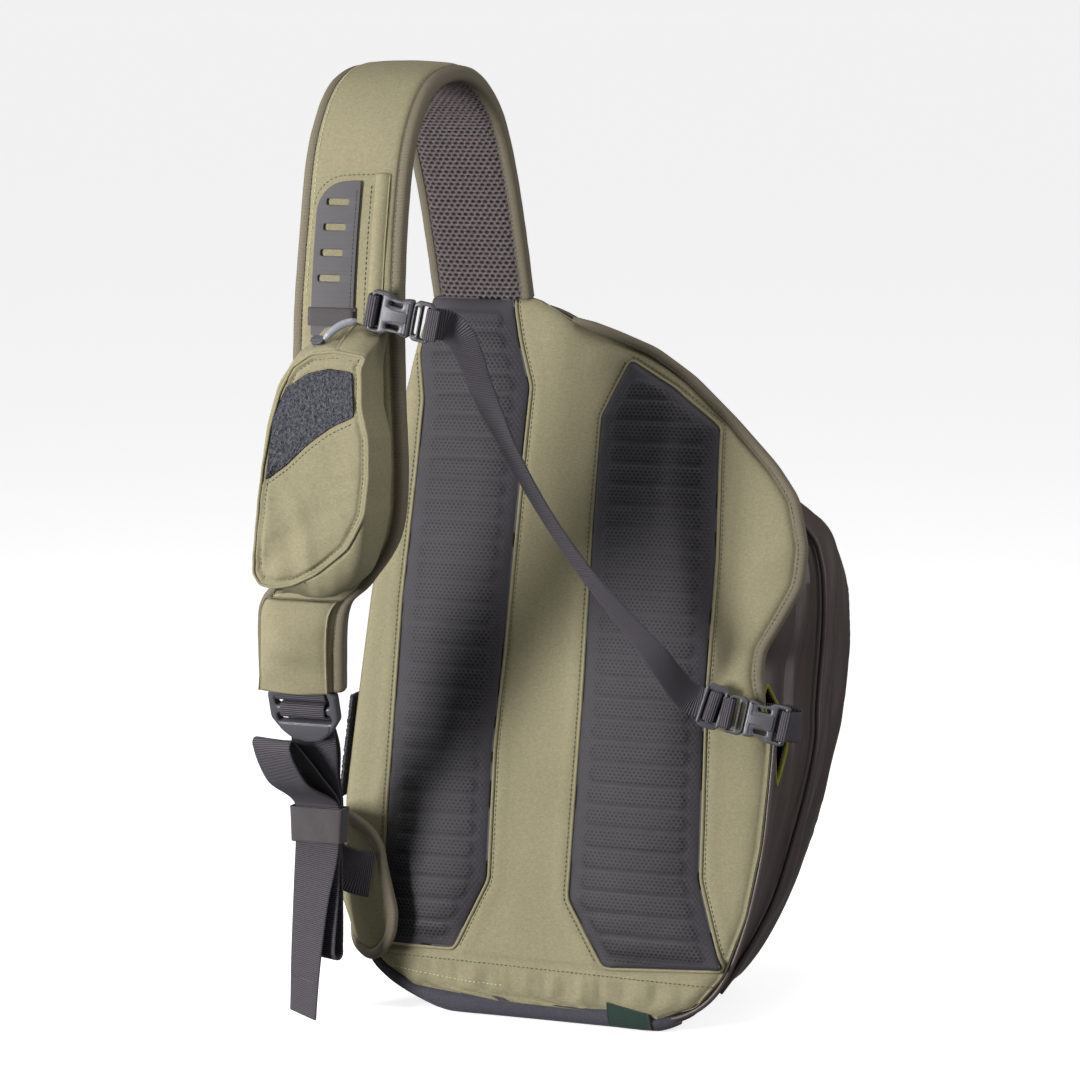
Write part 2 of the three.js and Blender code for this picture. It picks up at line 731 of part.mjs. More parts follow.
const bandHeight = 11;
const bandThickness = 1.2;
function ladderBand() {
  const foot = ladderFoot + 1.5;
  const under = ladderThickness + 3 * gap;
  const top = under + bandThickness;
  const w = ladderWidth / 2 + 2;
  const section = [
    [-w, 0],
    [-w, top],
    [w, top],
    [w, 0],
    [w - 1, 0],
    [w - 1, under],
    [-w + 1, under],
    [-w + 1, 0],
  ];
  const edges = () => [ladderLeft - 1.5, ladderLeft + ladderWidth + 2.5];
  return onStrapRun(foot, bandHeight, 3, edges, () => section, { flat: section });
}

const flapLeft = 15;
function zipFlap() {
  const edges = () => [flapLeft, flapLeft + flapWidth];
  const foot = pouchFoot + pouchLength - flapSink;
  return onStrapRun(foot, flapLength, 16, edges, (width) =>
    raised(width, flapThickness, 1.1),
  );
}

function endCover() {
  const sag = 0.35; // how much the cloth swells at its middle
  const edges = (frame) => [-strapCoreWidth(frame) / 2 - 6.5, strapCoreWidth(frame) / 2 - 0.5];
  return onStrapRun(0.5, endCoverLength - 3, 8, edges, (width, { share }) => {
    const swell = 1 + sag * Math.sin(Math.PI * share);
    return raised(width, endCoverThickness * swell, 1.2);
  }).translate(0, -bindingProud, 0);
}

// Pouch on the strap
const pouchOutline = pouchRows.map((row) => [
  row.across * pouchWidth,
  pouchFoot + row.up * pouchLength,
]);
const pouchSeat = gap + bindingProud;
const pouchFront = onStrap(0, pouchFoot + pouchLength, pouchSeat).y;

function onPouch(across, up, out) {
  const point = onStrap(across, up, pouchSeat);
  const back = Math.max(0, point.y - pouchFront);
  point.y -= out * (1 + (pouchHang * back) / pouchDepth);
  return point;
}

function pouchShell() {
  const outer = pouchSections.map(({ rise, inset: by }) =>
    inset(pouchOutline, by * pouchDepth).map(([a, u]) => onPouch(a, u, rise * pouchDepth)),
  );
  const inner = pouchSections.map(({ rise, inset: by }) =>
    inset(pouchOutline, by * pouchDepth + pouchWall).map(([a, u]) =>
      onPouch(a, u, Math.min(rise * pouchDepth, pouchDepth - pouchWall)),
    ),
  );
  const loops = [...outer].reverse().concat(inner);
  return throughLoops(loops, { flat: pouchOutline });
}

function pilePatch() {
  const outline = patchRows.map((row) => [
    row.across * pouchWidth,
    pouchFoot + row.up * pouchLength,
  ]);
  return padOn(onPouch, outline, [
    { inset: 0, rise: pouchDepth + gap },
    { inset: 0, rise: pouchDepth + gap + patchThickness * 0.6 },
    { inset: 1, rise: pouchDepth + gap + patchThickness },
  ]);
}

// Hardware, each made flat round its own origin: X along the web, Y across it, Z out from it
function outlineShape(corners) {
  return new THREE.Shape(corners.map(([x, y]) => new THREE.Vector2(x, y)));
}

function roundedShape(length, width, radius, Kind = THREE.Shape) {
  const [l, w] = [length / 2, width / 2];
  const shape = new Kind();
  shape.moveTo(-l + radius, -w);
  shape.lineTo(l - radius, -w);
  shape.absarc(l - radius, -w + radius, radius, -Math.PI / 2, 0);
  shape.absarc(l - radius, w - radius, radius, 0, Math.PI / 2);
  shape.absarc(-l + radius, w - radius, radius, Math.PI / 2, Math.PI);
  shape.absarc(-l + radius, -w + radius, radius, Math.PI, 1.5 * Math.PI);
  return shape;
}

function movedPath(points, x, y) {
  return new THREE.Path(points.map((p) => new THREE.Vector2(p.x + x, p.y + y)));
}

function plate(shape, thickness, bevel = 0.6) {
  const geometry = new THREE.ExtrudeGeometry(shape, {
    depth: thickness - 2 * bevel,
    bevelEnabled: bevel > 0,
    bevelThickness: bevel,
    bevelSize: bevel,
    bevelOffset: -bevel,
    bevelSegments: 1,
    curveSegments: 3,
  });
  return geometry.translate(0, 0, -thickness / 2 + bevel);
}

// The socket half: a waisted body with a window on each side, and a slot for its own web
const socketLength = 26;
function buckleSocket() {
  const [l, w] = [socketLength / 2, buckleWidth / 2];
  const shape = outlineShape([
    [-l, -w + 1.5],
    [-l + 1.5, -w],
    [-3, -w],
    [2, -w + 2],
    [l - 1, -w + 1],
    [l, -w + 2],
    [l, w - 2],
    [l - 1, w - 1],
    [2, w - 2],
    [-3, w],
    [-l + 1.5, w],
    [-l, w - 1.5],
  ]);
  const window = roundedShape(8, 2.6, 1.2, THREE.Path).getPoints(3);
  shape.holes.push(movedPath(window, 1, w - 6));
  shape.holes.push(movedPath(window, 1, -w + 6));
  const slot = roundedShape(4, sideWebWidth + 1.5, 1, THREE.Path).getPoints(3);
  shape.holes.push(movedPath(slot, (socketSlot.near + socketSlot.far) / 2, 0));
  return plate(shape, buckleThickness, 1);
}

// The plug half outside the socket: a frame whose bar carries the web
const plugLength = 13;
const plugThickness = 5.4;
function bucklePlug() {
  const shape = roundedShape(plugLength, buckleWidth - 1, 2.5);
  const slot = roundedShape(4.6, sideWebWidth + 1, 1, THREE.Path).getPoints(3);
  shape.holes.push(movedPath(slot, (plugSlot.near + plugSlot.far) / 2, 0));
  return plate(shape, plugThickness, 0.8);
}

const sliderLength = 15;
function webSlider() {
  const shape = roundedShape(sliderLength, sideWebWidth + 9, 3);
  const window = roundedShape(3.8, sideWebWidth + 1.2, 1, THREE.Path).getPoints(3);
  shape.holes.push(movedPath(window, -3.1, 0));
  shape.holes.push(movedPath(window, 3.1, 0));
  return plate(shape, 3.6, 0.5);
}

// Ladder lock: two cheeks, a top bar that the strap's end wraps, a middle bar and a thumb lip
const lockWidth = 46;
const lockLength = 36;
const lockBar = { top: 13, upper: 6.5, lower: 1.2, foot: -4.3 }; // edges of the bars, up the lock
function ladderLock() {
  const cheek = 5;
  const [l, w] = [lockLength / 2, lockWidth / 2];
  const shape = outlineShape([
    [l, -w + 3],
    [l, w - 3],
    [l - 3, w],
    [-2, w],
    [-l * 0.62, w * 0.72],
    [-l * 0.94, w * 0.4],
    [-l, 0],
    [-l * 0.94, -w * 0.4],
    [-l * 0.62, -w * 0.72],
    [-2, -w],
    [l - 3, -w],
  ]);
  for (const [high, low] of [
    [lockBar.top, lockBar.upper],
    [lockBar.lower, lockBar.foot],
  ]) {
    const window = roundedShape(high - low, lockWidth - 2 * cheek, 1, THREE.Path).getPoints(3);
    shape.holes.push(movedPath(window, (high + low) / 2, 0));
  }
  return plate(shape, lockThickness, 1.2);
}

// A ribbon of web through stations {at, side}, with its width along side
function ribbon(stations, width, ring = false) {
  const [w, t] = [width / 2, webThickness / 2];
  const section = [
    [-w, -t],
    [w, -t],
    [w, t],
    [-w, t],
  ];
  const points = stations.map(({ at }) => at);
  const frames = framesAlong(points, stations.map(({ side }) => side), ring);
  return sweep(frames, () => section, { ring, thin: true });
}

const station = (x, y, z, side = [1, 0, 0]) => ({
  at: new THREE.Vector3(x, y, z),
  side: new THREE.Vector3(...side),
});

// Stations in the frame of a piece of hardware: along its X and out along its Z
function stationsAt({ at, along, out }, spots, turn = 1) {
  const side = new THREE.Vector3().crossVectors(out, along).normalize().multiplyScalar(turn);
  const away = new THREE.Vector3().crossVectors(along, side).normalize().multiplyScalar(turn);
  return spots.map(([x, z]) => ({
    at: at.clone().addScaledVector(along, x).addScaledVector(away, z),
    side,
  }));
}

// Main web: from the hip wing up through the keeper, over the lock's middle bar, and down again
// through the keeper, where its tail is folded twice.
const lockAway = lockLength / 2 + webThickness + 2 * gap;
const strapEnd = strapFrame(strapRows.length - 1);
const lockUp = new THREE.Vector3().crossVectors(strapEnd.out, strapSide);
if (lockUp.z < 0) lockUp.negate();
const lockAt = strapEnd.at.clone().addScaledVector(lockUp, -lockAway);
const atLock = (up, out) => {
  const point = lockAt.clone().addScaledVector(lockUp, up).addScaledVector(strapEnd.out, out);
  return { at: point, side: strapSide.clone() };
};

const lockPlace = { at: lockAt, along: lockUp, out: strapEnd.out };
function lockLoop() {
  const [low, high] = [lockBar.top - gap - webThickness / 2, lockLength / 2 + gap + webThickness / 2];
  const side = lockThickness / 2 + gap + webThickness / 2;
  const spots = [
    [low, -side + 1],
    [low, side - 1],
    [low + 1, side],
    [high - 1, side],
    [high, side - 1],
    [high, -side + 1],
    [high - 1, -side],
    [low + 1, -side],
  ];
  return ribbon(stationsAt(lockPlace, spots), lockWidth - 12, true);
}

const keeperAt = lockAt.clone().add(new THREE.Vector3(-11, 41, -keeperDrop));
const turned = (degrees) => {
  const angle = THREE.MathUtils.degToRad(degrees);
  return [Math.cos(angle), Math.sin(angle), 0];
};

// A station round the keeper, and one below it at a share of its height from the floor
const atKeeper = (x, y, z, degrees = 0) =>
  station(keeperAt.x + x, keeperAt.y + y, keeperAt.z + z, turned(degrees));
const belowKeeper = (x, y, share, degrees) =>
  station(keeperAt.x + x, keeperAt.y + y, keeperAt.z * share, turned(degrees));

// From where the web is sewn to the hip wing to the keeper's foot, in shares of the way
const wingRun = [
  { across: 0, forward: 0, up: 0, side: [0, 0, 1] },
  { across: 0.38, forward: 0.2, up: 0.08, side: [0.38, 0, 0.92] },
  { across: 0.7, forward: 0.43, up: 0.29, side: [0.71, 0, 0.71] },
  { across: 0.92, forward: 0.7, up: 0.62, side: [0.92, 0, 0.38] },
];

function mainWeb() {
  const bar = lockThickness / 2 + gap + webThickness / 2;
  const step = gap + webThickness / 2;
  const inside = keeperHeight / 2 + 1;
  const hold = onWing(5, 0.594, 4.7);
  const toFoot = atKeeper(0, 3.4, -inside).at.sub(hold);
  const fromWing = wingRun.map(({ across, forward, up, side }) => ({
    at: new THREE.Vector3(across, forward, up).multiply(toFoot).add(hold),
    side: new THREE.Vector3(...side),
  }));
  return ribbon(
    [
      ...fromWing,
      atKeeper(0, 3.4, -inside),
      atKeeper(0, 3.4, inside + 3),
      atKeeper(3.5, -9.2, 34),
      atLock(-24, -9.5),
      atLock(-10, -bar - 2.6),
      atLock(3, -bar - 2.4),
      atLock(lockBar.upper + step - 0.9, -bar - 1.6),
      atLock(lockBar.upper + step, -bar + 0.4),
      atLock(lockBar.upper + step, bar - 0.9),
      atLock(lockBar.upper + step - 0.9, bar),
      atLock(lockBar.lower - step + 0.9, bar),
      atLock(lockBar.lower - step, bar - 0.9),
      atLock(lockBar.lower - step, -bar + 1),
      atLock(lockBar.lower - step - 0.9, -bar),
      atLock(-10, -bar),
      atLock(-20, -bar - 0.3),
      atKeeper(3.5, -12.7, 34),
      atKeeper(0, 1.2, inside + 2),
      atKeeper(0, 1.2, -inside),
      belowKeeper(0.2, 2.7, 0.8, -4),
      belowKeeper(0.5, 4.2, 0.635, -10),
      belowKeeper(1.5, 5.2, 0.397, -20),
      belowKeeper(1.8, 4.1, 0.337, -22),
      belowKeeper(0.6, 1.2, 0.325, -22),
      belowKeeper(-0.4, -1.4, 0.345, -22),
      belowKeeper(-0.5, -2.2, 0.413, -20),
      belowKeeper(0, -1.5, 0.635, -10),
      belowKeeper(0, -1.3, 0.8, -4),
      atKeeper(0, -1.1, -inside),
      atKeeper(0, -1.1, inside + 1),
      atKeeper(-3.5, -18.2, 34, -8),
      atKeeper(-9.5, -33.2, 53, -14),
      atKeeper(-11, -38.7, 58.6, -15),
      atKeeper(-11.5, -42.2, 59, -16),
      atKeeper(-11.5, -44.4, 55.5, -16),
      atKeeper(-7.5, -31.7, 32, -10),
      atKeeper(0, -3.4, inside),
      atKeeper(0, -3.4, -inside),
      belowKeeper(-3.5, -5.7, 0.635, -18),
      belowKeeper(-6.5, -7.7, 0.317, -28),
      belowKeeper(-8.5, -8.2, 0.0357, -33),
    ],
    mainWebWidth,
  );
}

function webKeeper() {
  const wall = 1.3;
  const [w, d] = [mainWebWidth / 2 + 0.8, 5.3];
  const section = (grow) => [
    [-w - grow, -d - grow],
    [w + grow, -d - grow],
    [w + grow, d + grow],
    [-w - grow, d + grow],
  ];
  const ring = (grow, up) =>
    section(grow).map(([x, y]) => new THREE.Vector3(x, y, up).add(keeperAt));
  const half = keeperHeight / 2;
  const loops = [ring(0, -half), ring(wall, -half), ring(wall, half), ring(0, half)];
  return throughLoops(loops, { ring: true });
}

// Hip wing: a flap that comes forward from the left gusset and turns over the panel's edge, from
// the gusset to its free end: reach is a share of wingReach, turn of wingTurn, low and high of
// wingHeight from its middle.
const wingRows = [
  { reach: -0.119, turn: -0.818, low: -0.214, high: 0.313 },
  { reach: -0.146, turn: -0.227, low: -0.324, high: 0.423 },
  { reach: -0.027, turn: 0.409, low: -0.434, high: 0.489 },
  { reach: 0.297, turn: 0.795, low: -0.5, high: 0.5 },
  { reach: 0.595, turn: 0.932, low: -0.434, high: 0.445 },
  { reach: 0.838, turn: 0.982, low: -0.324, high: 0.379 },
  { reach: 1, turn: 1, low: -0.17, high: 0.269 },
];
const bindingSize = 6;

// A spot on the wing at one of its rows, as a share from its lower edge to its upper one
function onWing(at, share, out = 0, clear = 0) {
  const last = wingRows.length - 1;
  const path = (row) => [
    wingReach * column(wingRows, "reach", row),
    -backFoot - wingTurn * column(wingRows, "turn", row),
  ];
  const [x, y] = path(at);
  const [after, before] = [path(Math.min(at + 0.1, last)), path(Math.max(at - 0.1, 0))];
  const [dx, dy] = [after[0] - before[0], after[1] - before[1]];
  const length = Math.hypot(dx, dy);
  const low = wingUp + wingHeight * column(wingRows, "low", at) + clear;
  const high = wingUp + wingHeight * column(wingRows, "high", at) - clear;
  const up = THREE.MathUtils.lerp(low, high, share);
  return new THREE.Vector3(
    gussetEdge(up) + x + (dy / length) * out,
    y - (dx / length) * out,
    up,
  );
}

function hipWing() {
  const loops = [];
  const clear = bindingSize * 0.5 + 2.3;
  const thick = wingThickness / 2;
  const last = wingRows.length - 1;
  for (let i = 0; i <= last * 2; i++) {
    const at = Math.min(i / 2, last - 1);
    if (i / 2 > last - 1 + 0.5) break;
    const loop = [0, 0.05, 0.3, 0.7, 0.95, 1].map((share) =>
      onWing(at, share, share > 0 && share < 1 ? thick : thick * 0.5, clear),
    );
    const rear = [1, 0.95, 0.7, 0.3, 0.05, 0].map((share) =>
      onWing(at, share, share > 0 && share < 1 ? -thick : -thick * 0.5, clear),
    );
    loops.push([...loop, ...rear]);
  }
  return throughLoops(loops);
}

function hipWingBinding() {
  const last = wingRows.length - 1;
  const spots = [];
  for (let at = 0; at <= last; at += 0.5) spots.push([at, 0]);
  spots.push([last, 0.25], [last, 0.5], [last, 0.75]);
  for (let at = last; at >= 0; at -= 0.5) spots.push([at, 1]);
  const points = spots.map(([at, share]) => onWing(at, share));
  const sides = spots.map(([at, share]) => onWing(at, share, 1).sub(onWing(at, share)));
  const frames = framesAlong(points, sides);
  return sweep(frames, () => softSection(bindingSize, bindingSize * 0.8, bindingSize * 0.24));
}

// The label at the foot of the panel
function footLabel() {
  const left = 0.1325 * bagWidth;
  const right = left + labelLength;
  const corners = (out) => [
    onPanel(left, 0.9, out),
    onPanel(right, 0.6, out),
    onPanel(right, 7.6, out),
    onPanel(left, 9.4, out),
  ];
  return throughLoops([corners(gap), corners(gap + 1.1)]);
}

// The stabiliser: an upper buckle on the strap, a slider and a lower buckle at the panel's edge.
// Each frame's along points from the socket to the plug, or along the web for the slider.
const upperHeading = new THREE.Vector3(1, 0.12, -0.22).normalize();
const upperPlace = {
  at: onStrap(34.1, pouchFoot + pouchLength + upperLift, flapThickness + 6.65),
  along: upperHeading,
  out: new THREE.Vector3(0, -1, -0.05).normalize(),
};
const panelOut = onPanel(0, 0, 1).sub(onPanel(0, 0, 0));
const lowerHeading = new THREE.Vector3(-1, -0.14, 0.2).normalize();
const lowerPlace = {
  at: onPanel(slitEdge + 7, slitUp - 0.2, panelThickness + 6.8),
  along: lowerHeading,
  out: panelOut,
};
const sliderPlace = {
  at: onPanel(slitEdge - 27.5, slitUp + 7.3, panelThickness + padThickness + 2.5),
  along: new THREE.Vector3(1, 0.3, -0.33).normalize(),
  out: panelOut,
};
const plugAway = socketLength / 2 + plugLength / 2 + gap;
const plugPlace = (place) => ({
  ...place,
  at: place.at.clone().addScaledVector(place.along, plugAway),
});

const plugSlot = { near: -0.9, far: 3.7 }; // the web's slot along the plug
const socketSlot = { near: -10.2, far: -6.2 };

// The web's free run from the upper plug to the slider, in shares of the way across, back and
// down, with the direction of its width.
const webRows = [
  { across: 0.062, back: 0.014, down: 0.022, side: [0.62, -0.02, 0.78] },
  { across: 0.1, back: 0.058, down: 0.07, side: [0.9, 0.06, 0.4] },
  { across: 0.12, back: 0.158, down: 0.162, side: [0.96, 0, 0.2] },
  { across: 0.161, back: 0.285, down: 0.272, side: [0.65, -0.55, 0.45] },
  { across: 0.314, back: 0.46, down: 0.47, side: [0.62, -0.65, 0.35] },
  { across: 0.508, back: 0.608, down: 0.64, side: [0.62, -0.6, 0.4] },
  { across: 0.709, back: 0.722, down: 0.772, side: [0.62, -0.45, 0.6] },
  { across: 0.87, back: 0.796, down: 0.868, side: [0.55, -0.2, 0.8] },
];

function stabiliserWeb() {
  const round = plugThickness / 2 + gap + webThickness / 2;
  const slot = plugSlot.far - gap - webThickness / 2;
  const [over, dip] = [3, 3.1];
  const start = stationsAt(plugPlace(upperPlace), [
    [10, round],
    [slot + 0.8, round],
    [slot, round - 0.9],
    [slot, -round + 0.9],
    [slot + 0.8, -round],
    [7, -round - 0.5],
    [9, -round - 1.4],
    [12.5, -round - 3.4],
  ]);
  const atSlider = stationsAt(sliderPlace, [
    [-14, -over + 0.4],
    [-5.4, -over - 0.2],
    [-dip, -over + 1],
    [-dip, over - 1],
    [-dip + 1, over],
    [dip - 1, over],
    [dip, over - 1],
    [dip, -over + 1],
    [dip + 1, -over],
    [6.6, -over - 0.4],
  ]);
  const end = stationsAt(
    plugPlace(lowerPlace),
    [
      [slot + 2.2, -round],
      [slot, -round + 0.9],
      [slot, round - 0.9],
      [slot + 0.8, round],
      [9, round],
    ],
    -1,
  );
  const from = start[start.length - 1].at;
  const way = atSlider[0].at.clone().sub(from);
  const free = webRows.map(({ across, back, down, side }) => ({
    at: new THREE.Vector3(across, back, down).multiply(way).add(from),
    side: new THREE.Vector3(...side),
  }));
  return ribbon([...start, ...free, ...atSlider, ...end], sideWebWidth);
}

// The upper socket's web lies on the flap and turns round the socket's bar.
function upperTab() {
  const round = buckleThickness / 2 + gap + webThickness / 2;
  const low = -round - 1.3;
  const [bar, slot] = [-socketLength / 2 - gap - 0.8, socketSlot.near + gap + 0.8];
  const spots = [
    [-1, low],
    [bar + 0.8, low],
    [bar, low + 0.9],
    [bar, round - 0.9],
    [bar + 0.8, round],
    [slot - 0.8, round],
    [slot, round - 0.9],
    [slot, low + 2.4],
  ];
  return ribbon(stationsAt(upperPlace, spots), sideWebWidth);
}

// The lower socket's web turns back behind the panel's edge and goes in at the slit.
function lowerTab() {
  const round = buckleThickness / 2 + gap + webThickness / 2;
  const slot = socketSlot.near + gap + webThickness / 2;
  const bar = -socketLength / 2 - gap - webThickness / 2;
  const back = slitPoint(0, slitEdge);
  back.y += slitWidth / 2 - slitLip - 2 * gap - webThickness / 2;
  const down = [0, -sinLean, -cosLean];
  return ribbon(
    [
      ...stationsAt(lowerPlace, [
        [slot, -round],
        [slot, round - 0.9],
        [slot - 0.8, round],
        [bar + 0.8, round],
        [bar, round - 0.9],
        [bar, -round - 0.5],
      ]),
      station(slitEdge + 21.5, back.y - 9, back.z - 3, down),
      station(slitEdge + 19.5, back.y - 3, back.z - 2.5, down),
      station(slitEdge + 14, back.y, back.z - 1.5, down),
      station(slitEdge + 7, back.y, back.z - 0.5, down),
      station(slitEdge - 12, back.y, back.z, down),
    ],
    sideWebWidth,
  );
}

// The pouch's zip slider, and the sleeve over its cord
const zipAt = onPouch(-7, pouchFoot + pouchLength, 0.52 * pouchDepth);
zipAt.z += 0.8;
function zipSlider() {
  return new THREE.BoxGeometry(8.5, 6, 3.6);
}

function zipPull() {
  const start = zipAt.clone().add(new THREE.Vector3(5 + gap, 0, 1.2));
  const end = upperPlace.at.clone().add(new THREE.Vector3(-18.5, -8.1, -4));
  const along = end.clone().sub(start);
  const frames = [0, 0.06, 0.3, 0.8, 0.94, 1].map((share) => ({
    at: start.clone().addScaledVector(along, share),
    side: new THREE.Vector3(0, 1, 0),
    out: new THREE.Vector3(-along.z, 0, along.x).normalize(),
  }));
  const sizes = [3.2, 4.6, 5, 5, 4.4, 3];
  return sweep(frames, (frame, i) =>
    [0, 1, 2, 3, 4, 5, 6, 7].map((k) => {
      const angle = (k / 8) * 2 * Math.PI;
      return [(sizes[i] / 2) * Math.cos(angle), (sizes[i] / 2) * Math.sin(angle)];
    }),
  );
}

// Materials
const olive = new THREE.MeshStandardMaterial({ color: 0x9c9873, roughness: 0.9 });
const taupe = new THREE.MeshStandardMaterial({ color: 0x7b7263, roughness: 0.9 });
const brown = new THREE.MeshStandardMaterial({ color: 0x5c5049, roughness: 0.45 });
const slate = new THREE.MeshStandardMaterial({ color: 0x4a484d, roughness: 0.8 });
const meshDark = new THREE.MeshStandardMaterial({ color: 0x46424a, roughness: 0.8 });
const webGrey = new THREE.MeshStandardMaterial({ color: 0x59565c, roughness: 0.75 });
const laminate = new THREE.MeshStandardMaterial({ color: 0x6f6c70, roughness: 0.55 });
const plastic = new THREE.MeshStandardMaterial({ color: 0x4c4c53, roughness: 0.5 });
const pile = new THREE.MeshStandardMaterial({ color: 0x4b4b55, roughness: 1 });
const lime = new THREE.MeshStandardMaterial({ color: 0xa9a32c, roughness: 0.8 });
const labelGreen = new THREE.MeshStandardMaterial({ color: 0x33423f, roughness: 0.8 });

function piece(group, name, geometry, material) {
  const mesh = new THREE.Mesh(geometry, material);
  mesh.name = name;
  group.add(mesh);
  return mesh;
}

// Puts a piece of hardware in its frame: its X along, its Z out
function placed(mesh, { at, along, out }) {
  const side = new THREE.Vector3().crossVectors(out, along).normalize();
  const away = new THREE.Vector3().crossVectors(along, side).normalize();
  mesh.position.copy(at);
  mesh.quaternion.setFromRotationMatrix(new THREE.Matrix4().makeBasis(along, side, away));
  return mesh;
}

const bag = new THREE.Group();
piece(bag, "body_shell", cutBy(bodyShell(), slitCutter()), brown);
piece(bag, "slit_facing", slitFacing(), lime);
piece(bag, "side_welt", sideWelt(), brown);
piece(bag, "base_cloth", baseCloth(), slate);
piece(bag, "back_panel", backPanel(), olive);
piece(bag, "wing_binding", wingBinding(), taupe);
piece(bag, "mesh_pad_left", meshPad(leftPadRows), meshDark);
piece(bag, "mesh_pad_right", meshPad(rightPadRows), meshDark);
piece(bag, "pile_strip", pileStrip(), pile);
piece(bag, "hip_wing", hipWing(), olive);
piece(bag, "hip_wing_binding", hipWingBinding(), taupe);
piece(bag, "foot_label", footLabel(), labelGreen);

const strap = new THREE.Group();
piece(strap, "shoulder_strap", strapCore(), olive);
piece(strap, "strap_lining", strapLining(), meshDark);
piece(strap, "strap_binding_left", strapBinding(-1), taupe);
piece(strap, "strap_binding_right", strapBinding(1), taupe);
piece(strap, "tool_ladder", toolLadder(), laminate);
piece(strap, "ladder_band", ladderBand(), webGrey);
piece(strap, "zip_flap", zipFlap(), olive);
piece(strap, "strap_end_cover", endCover(), olive);
piece(strap, "pouch", pouchShell(), olive);
piece(strap, "pile_patch", pilePatch(), pile);

piece(strap, "zip_slider", zipSlider(), plastic).position.copy(zipAt);
piece(strap, "zip_pull", zipPull(), webGrey);

const webbing = new THREE.Group();
placed(piece(webbing, "ladder_lock", ladderLock(), plastic), lockPlace);
piece(webbing, "lock_loop", lockLoop(), webGrey);
piece(webbing, "main_web", mainWeb(), webGrey);
piece(webbing, "web_keeper", webKeeper(), webGrey);

const stabiliser = new THREE.Group();
placed(piece(stabiliser, "upper_socket", buckleSocket(), plastic), upperPlace);
placed(piece(stabiliser, "upper_plug", bucklePlug(), plastic), plugPlace(upperPlace));
piece(stabiliser, "upper_tab", upperTab(), webGrey);
piece(stabiliser, "stabiliser_web", stabiliserWeb(), webGrey);
placed(piece(stabiliser, "web_slider", webSlider(), plastic), sliderPlace);
placed(piece(stabiliser, "lower_plug", bucklePlug(), plastic), plugPlace(lowerPlace));
placed(piece(stabiliser, "lower_socket", buckleSocket(), plastic), lowerPlace);
piece(stabiliser, "lower_tab", lowerTab(), webGrey);

const root = new THREE.Group();
root.add(bag, strap, webbing, stabiliser);
export default root;
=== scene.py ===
import bmesh
import bpy
import math
import numpy as np
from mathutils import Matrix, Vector


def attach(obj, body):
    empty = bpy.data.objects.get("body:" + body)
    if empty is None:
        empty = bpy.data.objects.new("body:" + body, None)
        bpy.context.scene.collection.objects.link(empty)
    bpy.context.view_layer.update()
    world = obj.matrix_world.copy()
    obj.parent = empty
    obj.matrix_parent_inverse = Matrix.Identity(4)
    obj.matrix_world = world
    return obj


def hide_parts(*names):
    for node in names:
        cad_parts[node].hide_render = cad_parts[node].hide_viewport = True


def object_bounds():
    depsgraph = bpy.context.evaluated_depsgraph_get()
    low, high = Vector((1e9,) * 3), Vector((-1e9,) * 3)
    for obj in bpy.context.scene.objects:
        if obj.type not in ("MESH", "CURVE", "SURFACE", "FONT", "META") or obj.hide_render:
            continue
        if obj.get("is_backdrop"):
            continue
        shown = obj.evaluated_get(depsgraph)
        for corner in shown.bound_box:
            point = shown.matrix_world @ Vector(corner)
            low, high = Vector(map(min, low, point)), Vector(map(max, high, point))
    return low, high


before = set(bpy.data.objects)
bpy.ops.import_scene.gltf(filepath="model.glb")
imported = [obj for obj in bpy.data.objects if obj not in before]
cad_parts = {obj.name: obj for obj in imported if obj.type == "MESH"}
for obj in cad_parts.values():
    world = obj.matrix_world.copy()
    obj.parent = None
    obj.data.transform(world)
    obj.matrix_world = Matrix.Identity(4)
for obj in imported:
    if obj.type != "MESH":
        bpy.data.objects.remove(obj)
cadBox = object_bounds()
rng = np.random.default_rng(7)

# Camera
cameraPlace = {
    "azimuth": 22, "elevation": 7.5, "distance": 2.6, "lens": 137.5, "target": (-0.024, -0.044, 0.3),
    "sensor": 36, "farEnd": 600
}


def towards(azimuth, elevation):  # from the bag out to a camera or a lamp
    az, el = math.radians(azimuth), math.radians(elevation)
    return Vector((math.sin(az) * math.cos(el), -math.cos(az) * math.cos(el), math.sin(el)))


def addCamera(place):
    away = towards(place["azimuth"], place["elevation"])
    data = bpy.data.cameras.new("camera")
    data.lens, data.sensor_width, data.clip_end = place["lens"], place["sensor"], place["farEnd"]
    camera = bpy.data.objects.new("camera", data)
    camera.location = Vector(place["target"]) + away * place["distance"]
    camera.rotation_euler = (-away).to_track_quat("-Z", "Y").to_euler()
    bpy.context.scene.collection.objects.link(camera)
    bpy.context.scene.camera = camera


addCamera(cameraPlace)
print("camera placed")

# Sizes in millimetres, as in the part's source
size = {
    "gap": 0.3, "lean": math.radians(9), "backFoot": 78, "width": 302, "height": 464, "depth": 158,
    "shellWall": 2.2, "baseWall": 3, "weltSize": 4, "panel": 12, "pad": 8,
    "binding": 9, "proud": 1.2, "strap": 68, "reach": 203, "rise": 144, "drop": 231, "swing": 52,
    "foam": 8, "mesh": 3.2, "rootAcross": -0.2467 * 302, "rootUp": 0.981 * 464 + 0.7,
    "pouchFoot": 66, "pouchLength": 154, "pouchWidth": 74, "pouchDepth": 30, "pouchHang": 0.6,
}
cosLean, sinLean = math.cos(size["lean"]), math.sin(size["lean"])

